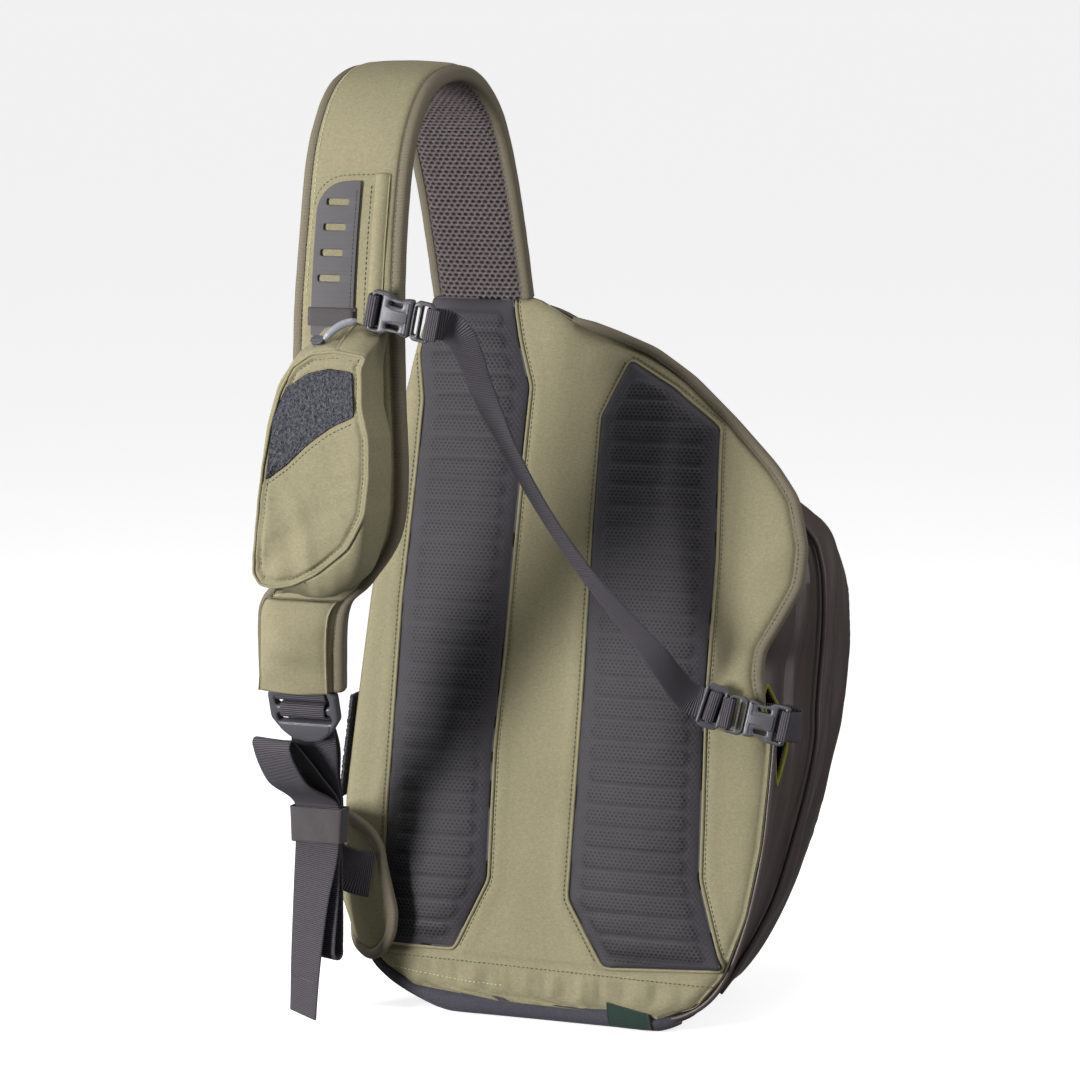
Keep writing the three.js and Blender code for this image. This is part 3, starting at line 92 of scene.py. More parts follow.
# across, up: the panel, the bag at the panel and the bag at its widest; then wing and base marks
outlineRows = [
    (-0.361, 0.981, -0.351, 0.972, -0.365, 0.962, ""), (-0.248, 0.981, -0.245, 0.972, -0.25, 0.968, ""),
    (-0.132, 0.981, -0.135, 0.965, -0.135, 0.962, ""), (-0.026, 0.957, -0.045, 0.935, -0.04, 0.93, "w"),
    (0.062, 0.939, 0.03, 0.9, 0.04, 0.895, "w"), (0.149, 0.918, 0.1, 0.868, 0.115, 0.86, "w"),
    (0.238, 0.881, 0.176, 0.825, 0.19, 0.82, "w"), (0.331, 0.828, 0.254, 0.768, 0.28, 0.77, "w"),
    (0.424, 0.769, 0.33, 0.706, 0.37, 0.725, "w"), (0.477, 0.724, 0.384, 0.656, 0.437, 0.676, "w"),
    (0.503, 0.659, 0.412, 0.61, 0.466, 0.622, "w"), (0.497, 0.606, 0.421, 0.572, 0.472, 0.57, "w"),
    (0.457, 0.556, 0.412, 0.535, 0.472, 0.53, "w"), (0.424, 0.517, 0.383, 0.502, 0.471, 0.495, "w"),
    (0.421, 0.483, 0.382, 0.477, 0.469, 0.46, "w"), (0.434, 0.448, 0.394, 0.446, 0.467, 0.42, "w"),
    (0.444, 0.399, 0.441, 0.399, 0.466, 0.375, ""), (0.44, 0.323, 0.437, 0.323, 0.45, 0.31, ""),
    (0.434, 0.256, 0.43, 0.256, 0.43, 0.255, ""), (0.411, 0.162, 0.406, 0.162, 0.395, 0.165, ""),
    (0.371, 0.082, 0.365, 0.078, 0.345, 0.095, ""), (0.315, 0.037, 0.308, 0.026, 0.29, 0.035, ""),
    (0.232, 0.017, 0.232, 0, 0.232, 0, "b"), (0.126, 0.022, 0.126, 0, 0.126, 0, "b"),
    (0, 0.024, 0, 0, 0, 0, "b"), (-0.123, 0.026, -0.123, 0, -0.123, 0, "b"),
    (-0.228, 0.026, -0.228, 0, -0.228, 0, "b"), (-0.308, 0.034, -0.306, 0.014, -0.306, 0.012, "b"),
    (-0.384, 0.058, -0.379, 0.038, -0.385, 0.04, "b"), (-0.43, 0.086, -0.427, 0.073, -0.44, 0.075, "b"),
    (-0.464, 0.151, -0.461, 0.147, -0.48, 0.147, ""), (-0.49, 0.216, -0.487, 0.216, -0.515, 0.216, ""),
    (-0.497, 0.28, -0.494, 0.28, -0.528, 0.28, ""), (-0.483, 0.42, -0.48, 0.42, -0.52, 0.42, ""),
    (-0.467, 0.56, -0.464, 0.56, -0.507, 0.56, ""), (-0.444, 0.7, -0.44, 0.7, -0.485, 0.7, ""),
    (-0.421, 0.823, -0.417, 0.823, -0.458, 0.823, ""), (-0.391, 0.916, -0.386, 0.91, -0.42, 0.905, ""),
]
# depth, share of the widest outline, side, top, foot
depthRows = np.array([
    (0, 0, 1, 1, 1), (0.12, 0.5, 1, 1, 1), (0.38, 0.95, 1, 0.99, 1), (0.62, 1, 0.995, 0.97, 1),
    (0.8, 1, 0.95, 0.93, 1), (0.92, 1, 0.86, 0.85, 0.965), (0.98, 1, 0.73, 0.73, 0.88),
    (1, 1, 0.5, 0.5, 0.62), (1.01, 1, 0.2, 0.2, 0.25),
])
girth = ([0, 0.25, 0.5, 0.75, 1], [0.94, 1, 0.97, 0.74, 0.42])
leftPad = [
    (-0.352, 0.978), (-0.172, 0.978), (-0.152, 0.92), (-0.123, 0.858), (-0.129, 0.776), (-0.142, 0.569),
    (-0.157, 0.364), (-0.154, 0.185), (-0.222, 0.088), (-0.389, 0.088), (-0.39, 0.284), (-0.384, 0.56),
    (-0.368, 0.741), (-0.362, 0.838), (-0.378, 0.9),
]
rightPad = [
    (0.099, 0.898), (0.2, 0.862), (0.303, 0.812), (0.311, 0.638), (0.305, 0.45), (0.315, 0.209),
    (0.372, 0.09), (0.116, 0.08), (0.03, 0.168), (0.036, 0.44), (0.036, 0.683), (0.04, 0.821),
]
# out, rise, drop, swing, width
strapRows = np.array([
    (0, 0, 0, 0, 1), (0.07, 0.29, 0, 0, 1), (0.15, 0.57, 0, 0, 1), (0.26, 0.82, 0, 0, 1),
    (0.43, 0.97, 0, 0, 1), (0.62, 1, 0, 0, 1), (0.8, 0.925, 0, 0, 1), (0.93, 0.71, 0, 0, 1),
    (0.98, 0.385, 0, 0.02, 1), (1, 0.035, 0, 0.05, 1.03), (1, 0, 0.178, 0.06, 1.06),
    (0.99, 0, 0.42, 0.1, 1.14), (0.965, 0, 0.575, 0.23, 1.12), (0.935, 0, 0.694, 0.5, 0.94),
    (0.9, 0, 0.782, 0.83, 0.87), (0.82, 0, 1, 1, 0.84),
])
pouchRows = [
    (0.096, 1), (-0.08, 0.99), (-0.224, 0.967), (-0.34, 0.925), (-0.428, 0.86), (-0.49, 0.74),
    (-0.538, 0.604), (-0.565, 0.48), (-0.573, 0.37), (-0.53, 0.25), (-0.431, 0.15), (-0.3, 0.08),
    (-0.16, 0.042), (0.131, 0.013), (0.34, 0.03), (0.43, 0.1), (0.459, 0.182), (0.44, 0.31),
    (0.397, 0.445), (0.36, 0.62), (0.334, 0.773), (0.305, 0.94), (0.24, 0.99),
]
patchRows = [
    (0.051, 0.925), (-0.13, 0.905), (-0.32, 0.845), (-0.43, 0.73), (-0.485, 0.49), (-0.32, 0.55),
    (-0.127, 0.633), (0.06, 0.7), (0.27, 0.745), (0.25, 0.915),
]
# reach, turn, low, high
wingRows = np.array([
    (-0.119, -0.818, -0.214, 0.313), (-0.146, -0.227, -0.324, 0.423), (-0.027, 0.409, -0.434, 0.489),
    (0.297, 0.795, -0.5, 0.5), (0.595, 0.932, -0.434, 0.445), (0.838, 0.982, -0.324, 0.379),
    (1, 1, -0.17, 0.269),
])


# Curves and tables
def ramp(x):  # rises from 0 to 1 and stays there
    return np.clip(x, 0, 1)


def column(table, at, closed=False):  # smooth rows of a table at fractional row numbers
    table, at = np.asarray(table, float), np.atleast_1d(np.asarray(at, float))
    n = len(table)
    if closed:
        whole = np.floor(at).astype(int)
        rows = [table[(whole + k) % n] for k in (-1, 0, 1, 2)]
    else:
        whole = np.clip(np.floor(at).astype(int), 0, n - 2)
        rows = [table[np.clip(whole + k, 0, n - 1)] for k in (-1, 0, 1, 2)]
    t = (at - whole).reshape((-1,) + (1,) * (table.ndim - 1))
    a, b, c, d = rows
    return b + 0.5 * t * (c - a + t * (2 * a - 5 * b + 4 * c - d + t * (3 * (b - c) + d - a)))


def blurred(values, sigma, closed):  # soft running mean along the first axis, sigma in samples
    if sigma < 0.05:
        return values
    reach = int(math.ceil(sigma * 3))
    kernel = np.exp(-0.5 * (np.arange(-reach, reach + 1) / sigma) ** 2)
    kernel /= kernel.sum()
    n = len(values)
    index = np.arange(n)[:, None] + np.arange(-reach, reach + 1)[None, :]
    if closed:
        return np.einsum("nk...,k->n...", values[index % n], kernel)
    low, high = index < 0, index > n - 1
    inside = values[np.clip(index, 0, n - 1)]
    first, last = values[0], values[-1]
    mirror = values[np.clip(np.where(low, -index, np.where(high, 2 * (n - 1) - index, index)), 0, n - 1)]
    shape = low.shape + (1,) * (values.ndim - 1)
    inside = np.where(high.reshape(shape), 2 * last - mirror, inside)
    inside = np.where(low.reshape(shape), 2 * first - mirror, inside)
    return np.einsum("nk...,k->n...", inside, kernel)


def resample(points, step, closed=False, soft=0.0, extra=None):  # even steps along a line, corners softened
    points = np.asarray(points, float)
    if closed:
        points = np.vstack([points, points[:1]])
        extra = None if extra is None else np.vstack([extra, extra[:1]])
    lengths = np.concatenate([[0], np.cumsum(np.linalg.norm(np.diff(points, axis=0), axis=1))])
    count = max(6, int(round(lengths[-1] / step)))
    at = np.linspace(0, lengths[-1], count, endpoint=False) if closed else np.linspace(0, lengths[-1], count)
    line = np.stack([np.interp(at, lengths, points[:, k]) for k in range(points.shape[1])], -1)
    line = blurred(line, soft / step, closed)
    if extra is None:
        return line
    more = np.stack([np.interp(at, lengths, extra[:, k]) for k in range(extra.shape[1])], -1)
    return line, blurred(more, max(soft * 2, 2) / step, closed)


def inset(flat, distance):  # moves each corner of a closed outline inwards
    flat = np.asarray(flat, float)
    before, after = np.roll(flat, 1, 0), np.roll(flat, -1, 0)
    a, b = flat - before, after - flat
    a /= np.maximum(np.linalg.norm(a, axis=1, keepdims=True), 1e-9)
    b /= np.maximum(np.linalg.norm(b, axis=1, keepdims=True), 1e-9)
    area = np.sum(flat[:, 0] * after[:, 1] - after[:, 0] * flat[:, 1])
    normal = np.stack([-a[:, 1] - b[:, 1], a[:, 0] + b[:, 0]], -1)
    normal /= np.maximum(np.linalg.norm(normal, axis=1, keepdims=True), 1e-9)
    stretch = 1 / np.maximum(0.6, np.sqrt(np.maximum((1 + np.sum(a * b, 1)) / 2, 0)))
    return flat + normal * math.copysign(1, area) * distance * stretch[:, None]


def edgeDistance(u, v, outline):  # how far each spot is from an outline
    spots = np.stack([np.ravel(u), np.ravel(v)], -1)
    a = np.asarray(outline, float)
    b = np.roll(a, -1, 0)
    best = np.full(len(spots), 1e9)
    d = b - a
    long2 = np.maximum(np.sum(d * d, 1), 1e-9)
    for k in range(len(a)):
        t = ramp(((spots - a[k]) @ d[k]) / long2[k])
        best = np.minimum(best, np.hypot(*(spots - a[k] - t[:, None] * d[k]).T))
    return best.reshape(np.shape(u))


def softNoise(p, scale, seed, octaves=3):  # smooth noise of points or of a tuple of grids, about -1 to 1
    p = (np.stack(p, -1) if isinstance(p, tuple) else np.asarray(p, float)) / scale
    total, weight = np.zeros(p.shape[:-1]), 0.0
    for k in range(octaves):
        phase = np.random.default_rng(seed + 31 * k)
        part = np.zeros(p.shape[:-1])
        for _ in range(7):
            direction = phase.normal(size=p.shape[-1])
            direction *= phase.uniform(0.7, 1.3) / np.linalg.norm(direction)
            part += np.sin(p @ direction * 2 * math.pi * 2**k * 0.5 + phase.uniform(0, 6.28))
        total += part / 3.2 / 1.8**k
        weight += 1 / 1.8**k
    return total / weight * 1.2


# Mesh making
def addMesh(name, points, faces, uv=None):  # points and uv in millimetres
    mesh = bpy.data.meshes.new(name)
    points = np.array(points, float)
    points[:, 2] = np.maximum(points[:, 2], 0)  # nothing sinks under the base
    mesh.from_pydata((points / 1000).tolist(), [], [list(map(int, f)) for f in faces])
    if uv is not None:
        layer = mesh.uv_layers.new(name="cloth")
        layer.data.foreach_set("uv", (np.asarray(uv, float) / 1000).astype(np.float32).ravel())
    mesh.polygons.foreach_set("use_smooth", [True] * len(mesh.polygons))
    mesh.validate()
    turnOut(mesh)
    obj = bpy.data.objects.new(name, mesh)
    bpy.context.scene.collection.objects.link(obj)
    return obj


def turnOut(mesh):  # faces look outwards
    mesh.calc_loop_triangles()
    tri = np.array([t.vertices[:] for t in mesh.loop_triangles])
    co = np.array([v.co[:] for v in mesh.vertices])
    a, b, c = co[tri[:, 0]], co[tri[:, 1]], co[tri[:, 2]]
    if np.sum(a * np.cross(b, c)) < 0:
        mesh.flip_normals()


def runLengths(p):  # lengths along and across a grid of points
    along = np.concatenate([[0], np.cumsum(np.linalg.norm(np.diff(p, axis=0), axis=-1).mean(1))])
    across = np.concatenate([[0], np.cumsum(np.linalg.norm(np.diff(p, axis=1), axis=-1).mean(0))])
    return along, across


def gridFaces(n, m, loopI=False, loopJ=False, start=0):
    i, j = np.arange(n if loopI else n - 1), np.arange(m if loopJ else m - 1)
    a, b = np.meshgrid(i, j, indexing="ij")
    a, b = a.ravel(), b.ravel()
    corner = lambda x, y: start + (x % n) * m + (y % m)
    faces = np.stack([corner(a, b), corner(a + 1, b), corner(a + 1, b + 1), corner(a, b + 1)], -1)
    spots = [(a, b), (a + 1, b), (a + 1, b + 1), (a, b + 1)]
    return faces, spots


def tubePiece(name, p, ring=False):  # p[i, j]: i along the run, j round the section
    n, m = p.shape[:2]
    faces, spots = gridFaces(n, m, ring, True)
    wide = np.concatenate([p, p[:, :1]], 1)
    wide = np.concatenate([wide, wide[:1]], 0) if ring else wide
    along, across = runLengths(wide)
    uv = np.stack([np.stack([across[b], along[a]], -1) for a, b in spots], 1)
    faces, uv = faces.tolist(), uv.reshape(-1, 2).tolist()
    if not ring:
        for row, i in ((list(range(m)), 0), ([(n - 1) * m + k for k in range(m)][::-1], n - 1)):
            faces.append(row)
            uv += [[across[k % m], along[i]] for k in range(m)]
    return addMesh(name, p.reshape(-1, 3), faces, uv)


def slabPiece(name, u, v, w, place, skirt, ways=None):
    # u, v, w: a grid of the front; skirt: (outwards, level) rings down to the back
    n, m = u.shape
    faces, spots = gridFaces(n, m)
    uv = np.stack([np.stack([u[a, b], v[a, b]], -1) for a, b in spots], 1).reshape(-1, 2).tolist()
    faces = faces.tolist()
    points = [place(u, v, w).reshape(-1, 3)]
    rim = [(0, j) for j in range(m)] + [(i, m - 1) for i in range(1, n)]
    rim += [(n - 1, j) for j in range(m - 2, -1, -1)] + [(i, 0) for i in range(n - 2, 0, -1)]
    rim = np.array(rim)
    edge = np.stack([u[rim[:, 0], rim[:, 1]], v[rim[:, 0], rim[:, 1]]], -1)
    ahead, behind = np.roll(edge, -2, 0), np.roll(edge, 2, 0)
    out = np.stack([(ahead - behind)[:, 1], -(ahead - behind)[:, 0]], -1)
    out /= np.maximum(np.linalg.norm(out, axis=1, keepdims=True), 1e-9)
    area = np.sum(edge[:, 0] * np.roll(edge[:, 1], -1) - np.roll(edge[:, 0], -1) * edge[:, 1])
    out = blurred(out * math.copysign(1, area), 1.2, True)
    out = out if ways is None else ways(edge)
    last = rim[:, 0] * m + rim[:, 1]
    count, total = len(rim), n * m
    depth = 0.0
    for outwards, level in skirt:
        outwards = outwards(edge) if callable(outwards) else outwards
        spot = edge + out * outwards
        points.append(place(spot[:, 0], spot[:, 1], np.full(count, float(level))))
        here = total + np.arange(count)
        depth += 2
        for k in range(count):
            q = (k + 1) % count
            faces.append([last[k], here[k], here[q], last[q]])
            a, b = depth / max(1.0, np.hypot(*out[k])), depth / max(1.0, np.hypot(*out[q]))
            uv += [list(edge[k]), list(edge[k] + out[k] * a), list(edge[q] + out[q] * b), list(edge[q])]
        last, total = here, total + count
    faces.append(list(last[::-1]))
    uv += edge[::-1].tolist()
    return addMesh(name, np.concatenate(points), faces, uv)


def chains(outline, v):  # left and right edges of an outline at heights v
    outline = np.asarray(outline, float)
    left, right = np.full(len(v), 1e9), np.full(len(v), -1e9)
    a, b = outline, np.roll(outline, -1, 0)
    for (x0, y0), (x1, y1) in zip(a, b):
        if abs(y1 - y0) < 1e-9:
            continue
        t = (v - y0) / (y1 - y0)
        on = (t >= -1e-9) & (t <= 1 + 1e-9)
        x = x0 + (x1 - x0) * t
        left[on] = np.minimum(left[on], x[on])
        right[on] = np.maximum(right[on], x[on])
    return left, right


def ladderGrid(outline, stepUp, stepAcross):  # rows from edge to edge of an outline
    low, high = outline[:, 1].min() + 0.05, outline[:, 1].max() - 0.05
    n = max(4, int((high - low) / stepUp))
    v = np.linspace(low, high, n)
    left, right = chains(outline, v)
    m = max(4, int((right - left).max() / stepAcross))
    t = np.linspace(0, 1, m)
    u = left[:, None] + (right - left)[:, None] * t[None, :]
    return u, np.repeat(v[:, None], m, 1)


def roundSection(width, height, corner, perCorner=4, perSide=5):  # a rounded rectangle round its middle
    w, h = width / 2, height / 2
    points = []
    right, high = w - corner, h - corner
    for k, (x, y) in enumerate([(right, high), (-right, high), (-right, -high), (right, -high)]):
        for a in np.linspace(k * 90, k * 90 + 90, perCorner):
            points.append((x + corner * math.cos(math.radians(a)), y + corner * math.sin(math.radians(a))))
        following = [(-w + corner, h), (-w, -h + corner), (w - corner, -h), (w, h - corner)][k]
        here = points[-1]
        long = k % 2 == 0
        for s in range(1, perSide if long else 2):
            t = s / (perSide if long else 2)
            points.append((here[0] + (following[0] - here[0]) * t, here[1] + (following[1] - here[1]) * t))
    return np.array(points)


def sweepPoints(at, side, out, sections):
    return at[:, None] + side[:, None] * sections[..., :1] + out[:, None] * sections[..., 1:2]


def swept(at, side, out, section):  # the same section all along
    return sweepPoints(at, side, out, np.tile(section, (len(at), 1, 1)))


def framesAlong(points, sides, ring=False):
    if ring:
        along = np.roll(points, -1, 0) - np.roll(points, 1, 0)
    else:
        along = np.gradient(points, axis=0)
    along /= np.maximum(np.linalg.norm(along, axis=1, keepdims=True), 1e-9)
    side = sides - along * np.sum(sides * along, 1, keepdims=True)
    side /= np.maximum(np.linalg.norm(side, axis=1, keepdims=True), 1e-9)
    return side, np.cross(along, side)


def pushAlongNormals(obj, amounts):  # amounts in mm, one for each vertex
    mesh = obj.data
    co = np.empty(len(mesh.vertices) * 3)
    mesh.vertices.foreach_get("co", co)
    no = np.array([v.normal[:] for v in mesh.vertices])
    co = co.reshape(-1, 3) + no * np.asarray(amounts)[:, None] / 1000
    mesh.vertices.foreach_set("co", co.ravel())
    mesh.update()


def vertexPoints(obj):
    co = np.empty(len(obj.data.vertices) * 3)
    obj.data.vertices.foreach_get("co", co)
    return co.reshape(-1, 3) * 1000


# Thread: short rounded stitches along a line that lies on a surface
def stitchRun(line, normals, pitch, long, radius, lift=0.12):
    lengths = np.concatenate([[0], np.cumsum(np.linalg.norm(np.diff(line, axis=0), axis=1))])
    at = np.arange(pitch / 2, lengths[-1] - pitch / 2, pitch)
    take = lambda values, s: np.stack([np.interp(s, lengths, values[:, k]) for k in range(3)], -1)
    ends = take(line, at - long / 2), take(line, at + long / 2)
    normal = take(normals, at)
    points, faces = [], []
    for a, b, up in zip(*ends, normal):
        along = (b - a) / max(np.linalg.norm(b - a), 1e-9)
        up = up / max(np.linalg.norm(up), 1e-9)
        across = np.cross(along, up)
        base = len(points)
        points.append(a - up * radius * 0.5)
        for share, wide in ((0.15, 0.8), (0.5, 1.0), (0.85, 0.8)):
            centre = a + (b - a) * share + up * lift
            for k in range(6):
                angle = k * math.pi / 3
                points.append(centre + (across * math.cos(angle) + up * math.sin(angle)) * radius * wide)
        points.append(b - up * radius * 0.5)
        for ring in range(2):
            for k in range(6):
                q, r = base + 1 + ring * 6, (k + 1) % 6
                faces.append((q + k, q + r, q + 6 + r, q + 6 + k))
        for k in range(6):
            r = (k + 1) % 6
            faces.append((base, base + 1 + r, base + 1 + k))
            faces.append((base + 19, base + 13 + k, base + 13 + r))
    return points, faces


# pitch, length and radius of each row of stitches
stitchRows = {
    "panel_stitches": (3.0, 2.1, 0.36), "foot_stitches": (3.0, 1.9, 0.3),
    "wing_binding_stitches": (2.9, 2.0, 0.3),
    "strap_edge_stitches": (3.0, 2.0, 0.28), "strip_stitches": (2.6, 1.8, 0.26),
    "strap_face_stitches": (3.0, 2.1, 0.3), "strap_long_stitches": (3.1, 2.1, 0.3),
    "pouch_stitches": (2.8, 1.9, 0.28), "pouch_corner_stitches": (2.6, 1.8, 0.3), "tail_hem": (2.4, 1.7, 0.3),
}


def threadPiece(name, runs):
    points, faces = [], []
    for line, normals in runs:
        p, f = stitchRun(np.asarray(line, float), np.asarray(normals, float), *stitchRows[name])
        faces += [tuple(x + len(points) for x in face) for face in f]
        points += p
    return addMesh(name, points, faces)


# A moulded plate with rounded edges, flat round its own origin: X along, Y across, Z out
def mouldedPlate(outline, holes, thickness, bevel, z=0.0, soft=0.6):
    curve = bpy.data.curves.new("plate", "CURVE")
    curve.dimensions, curve.fill_mode = "2D", "BOTH"
    curve.extrude, curve.bevel_depth, curve.bevel_resolution = (thickness / 2 - bevel) / 1000, bevel / 1000, 3
    curve.offset = -bevel / 1000
    for flat in [outline, *holes]:
        line = resample(flat, 0.5, True, soft)
        spline = curve.splines.new("POLY")
        spline.points.add(len(line) - 1)
        none, one = np.zeros((len(line), 1)), np.ones((len(line), 1))
        spline.points.foreach_set("co", np.concatenate([line / 1000, none, one], 1).ravel())
        spline.use_cyclic_u = True
    obj = bpy.data.objects.new("plate", curve)
    bpy.context.scene.collection.objects.link(obj)
    mesh = bpy.data.meshes.new_from_object(obj.evaluated_get(bpy.context.evaluated_depsgraph_get()))
    bpy.data.objects.remove(obj)
    points = np.array([v.co[:] for v in mesh.vertices]) * 1000 + np.array([0, 0, z])
    faces = [tuple(p.vertices) for p in mesh.polygons]
    bpy.data.meshes.remove(mesh)
    return points, faces


def joinedParts(parts):
    points, faces = [], []
    for p, f in parts:
        faces += [tuple(x + len(points) for x in face) for face in f]
        points += list(p)
    return np.array(points), faces


def mergeDoubles(obj, distance=0.00001):
    work = bmesh.new()
    work.from_mesh(obj.data)
    bmesh.ops.remove_doubles(work, verts=work.verts, dist=distance)
    bmesh.ops.recalc_face_normals(work, faces=work.faces)
    work.to_mesh(obj.data)
    work.free()


def placedPart(name, points, faces, place, sharp=35):  # puts a flat moulded part into its frame
    side = np.cross(place["out"], place["along"])
    side /= np.linalg.norm(side)
    away = np.cross(place["along"], side)
    world = place["at"] + points[:, :1] * place["along"] + points[:, 1:2] * side + points[:, 2:3] * away
    obj = addMesh(name, world, faces)
    mergeDoubles(obj)
    obj.data.set_sharp_from_angle(angle=math.radians(sharp))
    return obj


def unit(*v):
    v = np.array(v, float)
    return v / np.linalg.norm(v)


# Where things are
def onPanel(u, v, w=0.0):
    u, v, w = np.broadcast_arrays(np.asarray(u, float), np.asarray(v, float), np.asarray(w, float))
    return np.stack([u, -size["backFoot"] + v * sinLean - w * cosLean, v * cosLean + w * sinLean], -1)


panelOut = np.array([0, -cosLean, sinLean])
table = np.array([row[:6] for row in outlineRows])
isWing = np.array([row[6] == "w" for row in outlineRows])
isBase = np.array([row[6] == "b" for row in outlineRows])
bagSize = np.array([size["width"], size["height"]])
panelFull, bagNear, bagWide = (table[:, k : k + 2] * bagSize for k in (0, 2, 4))
bagMiddle = 0.42 * size["height"]


def bagPlace(across, up, depth, side, top, foot):  # a spot of the bag's shell
    rise = np.where(up > bagMiddle, top, foot)
    x, z = across * side, bagMiddle + (up - bagMiddle) * rise
    local = size["depth"] * np.interp(z / size["height"], *girth)
    point = onPanel(x, z)
    point[..., 1] += size["gap"] / cosLean + np.maximum(0, depth * local)
    return point


def bagGrid(around, deep, sink):  # around: outline rows, deep: depth rows, both fractional
    near = column(bagNear, around, True)
    far = column(bagWide, around, True)
    sunk = np.asarray(sink, float)
    turnIn = inset(near, 1.0) - near
    near = near + turnIn * sunk[:, None]
    far = far + (inset(far, 1.0) - far) * sunk[:, None]
    rows = column(depthRows, deep)
    spot = near[:, None] + (far - near)[:, None] * rows[None, :, 1:2]
    pick = lambda k: np.broadcast_to(rows[None, :, k], spot.shape[:2])
    return bagPlace(spot[..., 0], spot[..., 1], pick(0), pick(2), pick(3), pick(4))


strapRoot = onPanel(size["rootAcross"], size["rootUp"], size["panel"] / 2)


def strapMiddle(at):
    rows = column(strapRows, at)
    return np.stack([
        strapRoot[0] - size["swing"] * rows[:, 3],
        strapRoot[1] - size["reach"] * rows[:, 0],
        strapRoot[2] + size["rise"] * rows[:, 1] - size["drop"] * rows[:, 2],
    ], -1)


def strapFrames(at):
    at = np.atleast_1d(np.asarray(at, float))
    last = len(strapRows) - 1
    along = strapMiddle(np.minimum(at + 0.01, last)) - strapMiddle(np.maximum(at - 0.01, 0))
    along[:, 0] = 0
    along /= np.linalg.norm(along, axis=1, keepdims=True)
    side = np.tile([1.0, 0, 0], (len(at), 1))
    return strapMiddle(at), side, np.cross(along, side), size["strap"] * column(strapRows, at)[:, 4]


stepRows = np.linspace(len(strapRows) - 1, 0, 401)
stepMiddle = strapMiddle(stepRows)
stepLengths = np.concatenate([[0], np.cumsum(np.hypot(*np.diff(stepMiddle[:, 1:], axis=0).T))])


def onStrap(across, up, out=0.0):
    across, up, out = np.broadcast_arrays(
        np.asarray(across, float), np.asarray(up, float), np.asarray(out, float)
    )
    at, side, away, _ = strapFrames(np.interp(up.ravel(), stepLengths, stepRows))
    point = at + side * across.reshape(-1, 1) + away * (size["foam"] / 2 + out.reshape(-1, 1))
    return point.reshape(across.shape + (3,))


pouchSeat = size["gap"] + size["proud"]
pouchTop = size["pouchFoot"] + size["pouchLength"]
pouchFrontY = onStrap(0, pouchTop, pouchSeat)[1]


def onPouch(across, up, out):
    point = onStrap(across, up, pouchSeat)
    back = np.maximum(0, point[..., 1] - pouchFrontY)
    point[..., 1] -= out * (1 + size["pouchHang"] * back / size["pouchDepth"])
    return point


def normalsOf(place, u, v, w=0.0, step=0.5):
    a = place(u + step, v, w) - place(u - step, v, w)
    b = place(u, v + step, w) - place(u, v - step, w)
    n = np.cross(a, b)
    n /= np.linalg.norm(n, axis=-1, keepdims=True)
    toFront = place(u, v, w + 1.0) - place(u, v, w)
    return n * np.sign(np.sum(n * toFront, -1, keepdims=True))


print("places ready")


# Materials
class Value:  # a socket that takes part in sums
    def __init__(self, shade, socket):
        self.shade, self.socket = shade, socket

    def sum(self, operation, *others):
        return self.shade.node("Math", {"operation": operation}, [self, *others])

    def __add__(self, other):
        return self.sum("ADD", other)

    def __sub__(self, other):
        return self.sum("SUBTRACT", other)

    def __rsub__(self, other):
        return self.shade.node("Math", {"operation": "SUBTRACT"}, [other, self])

    def __mul__(self, other):
        return self.sum("MULTIPLY", other)

    def __truediv__(self, other):
        return self.sum("DIVIDE", other)

    def __rtruediv__(self, other):
        return self.shade.node("Math", {"operation": "DIVIDE"}, [other, self])

    def __pow__(self, other):
        return self.sum("POWER", other)

    def __mod__(self, other):
        return self.sum("FLOORED_MODULO", other)

    __radd__, __rmul__ = __add__, __mul__

    def sin(self):
        return self.sum("SINE")

    def floor(self):
        return self.sum("FLOOR")

    def above(self, level, soft):  # 0 below the level, 1 above it
        return self.shade.node(
            "MapRange", {"interpolation_type": "SMOOTHSTEP"}, [self, level - soft, level + soft, 0.0, 1.0],
        )


fixedSockets = {
    "sheen": "Sheen Weight", "sheenRough": "Sheen Roughness", "specular": "Specular IOR Level",
    "coat": "Coat Weight", "coatRough": "Coat Roughness", "glowColour": "Emission Color",
    "glow": "Emission Strength",
}


